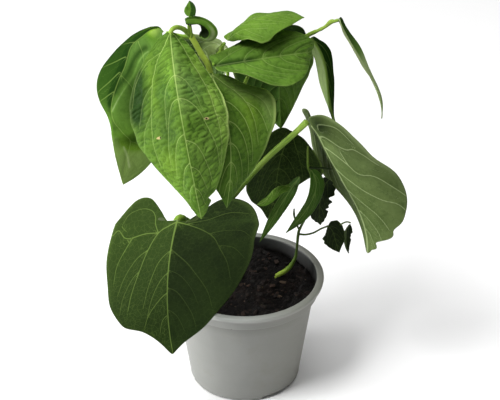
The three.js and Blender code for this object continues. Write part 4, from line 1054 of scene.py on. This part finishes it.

# The curled leaf at the growing tip: a gutter along a curl, laid between three lines, with its tones from
# the base to the tip and one pale line along it, and the end of its stalk. The tones from base to tip are
# partly its own paler underside and partly painted shade and light. The face with the dark old finish is
# painted shade inside the curl, and the pale line on it a painted highlight along the coil's rim.
curledLeaf = dict(
    crest=(
        (-40.2, -14, 304.7), (-37.6, -14, 306.2), (-33.2, -14, 306.7), (-29.2, -14, 306.1),
        (-25.1, -14, 304.3), (-21.5, -14, 301.5), (-18.7, -14, 297.6), (-18.1, -14, 293.6),
        (-19.9, -14, 289.8), (-23.3, -14, 288.1), (-26.7, -14, 288.8), (-29, -14, 290.6),
    ),
    near=(
        (-39.4, -15.5, 301.7), (-37, -16, 301.7), (-33.6, -16.5, 302), (-30.2, -17, 302.2),
        (-27.5, -17.5, 301.2), (-25.3, -18, 299.3), (-23.9, -18, 297.1), (-23.8, -18, 294.7),
        (-24.9, -17.5, 292.7), (-26.6, -17, 291.8), (-28.3, -16, 291.7), (-29.5, -15, 292.5),
    ),
    far=(
        (-39.2, -13, 300.3), (-36.8, -12.5, 299.7), (-33.8, -12, 299.8), (-31.7, -11, 299.5),
        (-30.4, -10, 298.3), (-29.6, -9, 296.5), (-29.3, -9, 294.8), (-29.5, -9, 293.5),
        (-30.2, -10, 292.9), (-30.7, -11, 292.2), (-30.7, -12, 291.4), (-30.5, -13, 290.9),
    ),
    # paleLine: place, width and strength of the painted highlight line on the dark face, and the painted
    # shade of the rest of that face
    rows=120, columns=40, thickness=0.45, roundness=1.7, paleLine=(0.4, 0.06, 1.7, -0.6),
    shade=(-55, -45, -35, -30, -25, -10, 10, 30, 45, 40, 20, 10),
    stalk=((-36, -12, 290, 1), (-36, -12.6, 294, 0.9), (-36.6, -13.5, 299.5, 0.9)),
)


def growCurledLeaf():
    t = np.linspace(0, 1, curledLeaf["rows"] + 1)
    crest, near, far = (throughPoints(curledLeaf[key], t)[:, None] for key in ("crest", "near", "far"))
    t, s = np.meshgrid(t, np.linspace(-1, 1, curledLeaf["columns"] + 1), indexing="ij")
    grid = crest
    for line, share in ((near, -s), (far, s)):
        grid = grid + (line - crest) * np.clip(share, 0, 1)[:, :, None] ** curledLeaf["roundness"]
    normal = unit(np.cross(np.gradient(grid, axis=1), np.gradient(grid, axis=0)))
    half = curledLeaf["thickness"] / 2 * normal
    points = np.concatenate([(grid + half).reshape(-1, 3), (grid - half).reshape(-1, 3)])
    count = s.size
    index = np.arange(count).reshape(s.shape)
    quads = quadCorners(index[:-1, :-1], index[1:, :-1], index[1:, 1:], index[:-1, 1:])
    border = np.concatenate([index[0, :-1], index[:-1, -1], index[-1, :0:-1], index[:0:-1, 0]])
    following = np.roll(border, -1)
    strip = quadCorners(border, following, following + count, border + count)
    groups = [quads[:, ::-1], quads + count, strip[:, ::-1]]
    slots = np.repeat((1, 0, 0), [len(group) for group in groups])
    flat = np.tile(np.column_stack([s.ravel() * 0.8, t.ravel() * 6]), (2, 1))
    place, width, tone, darkFaceShade = curledLeaf["paleLine"]
    outer = tone * bell(s - place, width) + darkFaceShade
    inner = alongRun(np.array(curledLeaf["shade"]) / 100, t) + 0.25 * np.cos(9 * s)
    values = dict(
        veinGap=np.tile(np.abs(s + 0.55).ravel() * 5, 2), veinSize=np.full(2 * count, 0.15),
        veinClear=np.full(2 * count, 0.5), shade=np.concatenate([outer.ravel(), inner.ravel()]),
    )
    # The dark old finish on one face paints the shade inside the curl
    materials = [leafFinishes["folded"], leafFinishes["old"]]
    makePiece(
        "tip_curled_leaf_band", points, groups, materials, "fresh_leaf", ("tip_curled_leaf",), slots,
        flat, values,
    )
    points, faces, flat = sweep(curledLeaf["stalk"], 12, 0.8)
    makePiece("tip_curled_leaf_stalk", points, faces, [stalkGreen], "stem", flat=flat)


growCurledLeaf()
print("growing tip made")

# The pot. The collar stands out from the wall by a step and has a lip around its rim. The foot has gaps
# at three directions, with a drain hole above each.
pot = dict(
    height=88, rim=60, collarFoot=76, collarWidth=6.4, lip=3.4, lean=0.5, wallTop=52.5, step=3.3, base=42,
    wall=1.8, floor=4, around=192, sharp=35, gaps=(36, 156, 276), gapWidth=25, gapHeight=2.8, gapEnd=30,
    gapLength=40, hole=3.8, holeDepth=12, holeInset=5.5, shine=0.45,
    # Colours: the plastic's two tones, scuffs and stains are its own; the lip's top is a painted highlight,
    # the band under the collar a painted shadow, the right side a painted shade with a warm tint, and the
    # inside dark partly as painted shade and partly as soil dirt, with soil splashes.
    plastic=((0.187, 0.191, 0.177), (0.225, 0.229, 0.214)), scuff=(0.19, 0.19, 0.165),
    stain=(0.17, 0.165, 0.13), lipHighlight=(0.3, 0.312, 0.29), collarShadow=(0.1, 0.1, 0.085),
    rightSideShade=(0.18, 0.177, 0.14), inside=(0.021, 0.023, 0.021), splash=(0.012, 0.01, 0.009),
)


def potFinish():
    finish = Finish("grey pot plastic", pot["shine"])
    where = finish.coordinates()
    clouds = finish.noise(where, 18, 4)
    scuffs = finish.noise(finish.stretch(where, (40, 40, 260)), 3, 3)
    grain = finish.noise(where, 2400, 2)
    stains = finish.noise(where, 30, 5, 0.65)
    splashes = finish.noise(where, 160, 4, 0.65)
    x, y, z = (finish.node("ShaderNodeSeparateXYZ", None, {0: where}, number) for number in range(3))
    radius = (x * x + y * y) ** 0.5
    # Painted shadow in a band just under the collar, strongest right under it
    below = finish.span(z, 0.066, 0.0752, 0, 0.5) * finish.span(z, 0.0752, 0.0762, 1, 0)
    # The inside of the collar above the soil, made dark: partly painted shade, partly soil dirt, with soil
    # splashes that thin out upwards
    inside = finish.span(radius, 0.0543, 0.0549, 1.0, 0.0) * finish.span(z, 0.0758, 0.0762)
    splashed = finish.span(splashes - (z - 0.0765) * 40, 0.15, 0.55)
    colour = finish.layers(
        finish.mix(finish.span(clouds, 0.35, 0.7), *pot["plastic"]),
        (finish.span(scuffs, 0.62, 0.8) * 0.25, pot["scuff"]),
        (finish.span(stains, 0.55, 0.75) * 0.5, pot["stain"]),
        # Painted highlight on the top of the lip
        (finish.span(z, 0.0845, 0.0852), pot["lipHighlight"]),
        (below, pot["collarShadow"]),
        # Painted shade with a warm tint, darker and warmer towards the right (+x)
        (finish.span(x, 0.0, 0.055, 0, 0.6), pot["rightSideShade"]),
        (inside, pot["inside"]), (inside * splashed, pot["splash"]),
    )
    roughness = finish.span(clouds + scuffs * 0.4, 0.4, 1.0, 0.42, 0.6)
    normal = finish.bump(grain + scuffs * 0.3, 0.12, 0.0002)
    return finish.finish(Base_Color=colour, Roughness=roughness, Normal=normal)


# Points round the axis of the pot, the first one in front
def onRing(radius, turn, z):
    return np.column_stack([radius * np.sin(turn), -radius * np.cos(turn), np.zeros(len(turn)) + z])


# Radius of the pot's wall inside at a height below the collar
def innerWall(z):
    share = (z - pot["floor"]) / (pot["collarFoot"] - pot["floor"])
    return pot["base"] - pot["wall"] + (pot["wallTop"] - pot["base"]) * share


# A corner of an outline as a short curve
def rounded(corner, before, after, radius, steps=4):
    corner, before, after = (np.array(p, float) for p in (corner, before, after))
    start = corner + unit(before - corner) * radius
    end = corner + unit(after - corner) * radius
    t = np.linspace(0, 1, steps + 1)[:, None]
    return [tuple(p) for p in (1 - t) ** 2 * start + 2 * (1 - t) * t * corner + t**2 * end]


# The outline from the axis underneath round to the axis inside: radius and height, and the rounding
def potProfile():
    height, rim, foot, floor, base = (pot[key] for key in ("height", "rim", "collarFoot", "floor", "base"))
    collar, innerCollar = pot["wallTop"] + pot["step"], rim - pot["collarWidth"]
    lean, lipFoot = pot["lean"], height - pot["lip"]
    corners = [
        ((0, 0), 0), ((28, 0), 0), ((30, 0), 0), ((36, 0), 0), ((base, 0), 2.2), ((base + 0.6, 6), 2),
        ((pot["wallTop"], foot - 1), 0.7), ((collar, foot), 0.9), ((collar + lean, lipFoot - 2), 2),
        ((rim - lean, lipFoot), 0.9), ((rim, height), 1.5), ((innerCollar + 0.6, height), 1.8),
        ((innerCollar, foot), 0.8), ((innerWall(foot - 3), foot - 3), 0.8), ((innerWall(floor), floor), 2),
        ((0, floor), 0),
    ]
    profile = []
    for number, (corner, radius) in enumerate(corners):
        if radius:
            profile += rounded(corner, corners[number - 1][0], corners[number + 1][0], radius)
        else:
            profile.append(corner)
    return profile


# A bar through the foot and a drill for the drain hole above its inner end, in one direction
def potCutters(degrees):
    turn = math.radians(degrees)
    bpy.ops.mesh.primitive_cube_add(size=1)
    gap = bpy.context.object
    gap.scale = [size * metres for size in (pot["gapWidth"], pot["gapLength"], 2 * pot["gapHeight"])]
    gap.rotation_euler = (0, 0, turn)
    depth = pot["holeDepth"] * metres
    bpy.ops.mesh.primitive_cylinder_add(vertices=40, radius=pot["hole"] * metres, depth=depth)
    hole = bpy.context.object
    for cutter, reach, height in ((gap, pot["gapLength"] / 2, 0), (hole, pot["holeInset"], depth / 4)):
        reach = (pot["gapEnd"] + reach) * metres
        cutter.location = (reach * math.sin(turn), -reach * math.cos(turn), height)
    return [gap, hole]


def makePot():
    profile = potProfile()
    turn = 2 * np.pi * np.arange(pot["around"]) / pot["around"]
    rings = [onRing(radius, turn, z) for radius, z in profile[1:-1]]
    points = np.concatenate(rings + [[[0, 0, profile[0][1]]], [[0, 0, profile[-1][1]]]])
    faces = ringFaces(len(rings), len(turn))
    body = makePiece("nursery_pot", points, faces, [potFinish()], "pot", ("pot",))
    cutters = [cutter for degrees in pot["gaps"] for cutter in potCutters(degrees)]
    bpy.context.view_layer.objects.active = body
    for cutter in cutters:
        cut = body.modifiers.new("cut", "BOOLEAN")
        cut.operation = "DIFFERENCE"
        cut.solver = "EXACT"
        cut.object = cutter
        bpy.ops.object.modifier_apply(modifier=cut.name)
    for cutter in cutters:
        bpy.data.objects.remove(cutter)
    body.data.polygons.foreach_set("use_smooth", np.ones(len(body.data.polygons), dtype=bool))
    body.data.set_sharp_from_angle(angle=math.radians(pot["sharp"]))


makePot()
print("pot turned")

# The soil, a lumpy filling that keeps clear of the pot's wall, and the bark chips on it
soil = dict(
    top=77.4, bottom=4.35, clearance=0.35, lump=1.5, waves=9, waveLength=12, fullTurn=6.3, ripples=30,
    rippleHeight=0.2, grit=0.28, edgeWidth=3, rings=90, ringSpread=0.8, around=240, seed=11, shine=0.25,
    crumbs=((0.002, 0.0018, 0.0016), (0.012, 0.0088, 0.0074)), brown=(0.028, 0.014, 0.01),
)
chips = dict(
    count=300, size=(1.2, 5.5), width=(0.4, 0.8), height=(0.2, 0.45), uneven=(0.7, 1.15), corners=0.72,
    margin=5.2, tilt=0.35, risen=0.4, shine=0.3,
    tones=(
        (0.0, (0.006, 0.005, 0.004)), (0.6, (0.022, 0.013, 0.009)),
        (0.88, (0.05, 0.028, 0.018)), (1.0, (0.1, 0.068, 0.046)),
    ),
)


def soilFinish():
    finish = Finish("dark potting mix", soil["shine"])
    where = finish.coordinates()
    crumbs = finish.noise(where, 420, 5, 0.7)
    patches = finish.noise(where, 70, 3)
    colour = finish.mix(finish.span(crumbs, 0.35, 0.75), *soil["crumbs"])
    colour = finish.mix(finish.span(patches, 0.5, 0.75) * 0.5, colour, soil["brown"])
    normal = finish.bump(crumbs, 1.0, 0.0015)
    return finish.finish(Base_Color=colour, Roughness=finish.span(crumbs, 0.3, 0.7, 0.75, 1.0), Normal=normal)


def chipFinish():
    finish = Finish("bark chips", chips["shine"])
    where = finish.coordinates()
    own = finish.attribute("chip")
    fibres = finish.noise(where, 900, 4, 0.65)
    tone = own + fibres * 0.3 - 0.15
    colour = finish.node("ShaderNodeValToRGB", {"stops": chips["tones"]}, {0: tone})
    normal = finish.bump(fibres, 0.8, 0.0008)
    return finish.finish(Base_Color=colour, Roughness=finish.span(fibres, 0.3, 0.7, 0.7, 0.95), Normal=normal)


# How far the lumps rise above the level of the soil
def soilHeight(x, y, waves):
    spread = soil["waveLength"]
    broad = sum(np.sin((a * x + b * y) / spread + phase) for a, b, phase in waves["broad"])
    fine = sum(np.sin(a * x + b * y + phase) for a, b, phase in waves["fine"])
    return broad * soil["lump"] / 3 + fine * soil["rippleHeight"]


# The filling: rings of lumps and grit on top, then the side down along the pot's wall
def makeFill(random, waves, edge):
    turn = 2 * np.pi * np.arange(soil["around"]) / soil["around"]
    rings = []
    for radius in edge * (np.arange(1, soil["rings"] + 1) / soil["rings"]) ** soil["ringSpread"]:
        ring = onRing(radius, turn, soil["top"])
        grit = random.normal(0, soil["grit"], len(turn))
        calm = np.clip((edge - radius) / soil["edgeWidth"], 0, 1)
        ring[:, 2] += soilHeight(ring[:, 0], ring[:, 1], waves) + grit - (1 - calm)
        rings.append(ring)
    clearance, bottom = soil["clearance"], soil["bottom"]
    foot, shoulder, corner = pot["collarFoot"], pot["collarFoot"] - 3, 6
    side = (
        (edge, foot + clearance), (innerWall(shoulder) - clearance, shoulder + clearance),
        (innerWall(corner) - 0.42, corner), (innerWall(pot["floor"]) - 2, bottom),
    )
    rings += [onRing(radius, turn, z) for radius, z in side]
    ends = [[[0, 0, soil["top"] + soilHeight(0, 0, waves)]], [[0, 0, bottom]]]
    quads, caps = ringFaces(len(rings), len(turn))
    faces = [quads[:, [0, 3, 2, 1]], caps[:, [0, 2, 1]]]
    makePiece("soil_fill", np.concatenate(rings + ends), faces, [soilFinish()], "soil", ("soil",))


# The corners of a chip, the middles of its six sides and its 24 faces
def chipBlock():
    corners = np.array([(x, y, z) for x in (-1, 1) for y in (-1, 1) for z in (-1, 1)], float)
    faces = []
    for axis in range(3):
        across, up = (other for other in range(3) if other != axis)
        for sign in (-1, 1):
            tip = 8 + 2 * axis + (0 if sign > 0 else 1)
            ring = [number for number in range(8) if corners[number, axis] * sign > 0]
            ring.sort(key=lambda number: math.atan2(corners[number, up], corners[number, across]))
            if (sign > 0) != (axis != 1):
                ring.reverse()
            faces += [(tip, ring[step], ring[(step + 1) % 4]) for step in range(4)]
    tips = np.kron(np.eye(3), [[1], [-1]])
    return np.concatenate([corners * chips["corners"], tips]), np.array(faces)


# Small rough blocks, half sunk into the soil
def strewChips(random, waves, edge):
    corners, faces = chipBlock()
    points, allFaces, tones = [], [], []
    for number in range(chips["count"]):
        radius = (edge - chips["margin"]) * math.sqrt(random.random())
        angle = 2 * math.pi * random.random()
        x, y = radius * math.sin(angle), -radius * math.cos(angle)
        low, high = chips["size"]
        long = low + (high - low) * random.random() ** 2.5
        scale = np.array([1, random.uniform(*chips["width"]), random.uniform(*chips["height"])]) * long / 1.6
        turn, tilt = 2 * math.pi * random.random(), random.normal(0, chips["tilt"])
        c, s, ct, st = math.cos(turn), math.sin(turn), math.cos(tilt), math.sin(tilt)
        spin = np.array([[c, -s, 0], [s, c, 0], [0, 0, 1]]) @ np.array([[1, 0, 0], [0, ct, -st], [0, st, ct]])
        block = (corners * random.uniform(*chips["uneven"], (len(corners), 1)) * scale) @ spin.T
        z = soil["top"] + soilHeight(x, y, waves) + scale[2] * chips["risen"]
        allFaces.append(faces + len(corners) * number)
        points.append(block + (x, y, z))
        tones.append(np.full(len(corners), random.random() ** 1.6))
    piece = makePiece(
        "bark_chips", np.concatenate(points), [np.concatenate(allFaces)], [chipFinish()], "soil",
        values={"chip": np.concatenate(tones)},
    )
    piece.data.polygons.foreach_set("use_smooth", np.zeros(len(piece.data.polygons), dtype=bool))


def makeSoil():
    random = np.random.default_rng(soil["seed"])
    phase = lambda: soil["fullTurn"] * random.random()
    waves = dict(
        broad=[(6 * random.random() - 3, 6 * random.random() - 3, phase()) for _ in range(soil["waves"])],
        fine=[(*random.normal(0, 1, 2), phase()) for _ in range(soil["ripples"])],
    )
    edge = pot["rim"] - pot["collarWidth"] - soil["clearance"]
    makeFill(random, waves, edge)
    strewChips(random, waves, edge)


makeSoil()
print("soil filled")
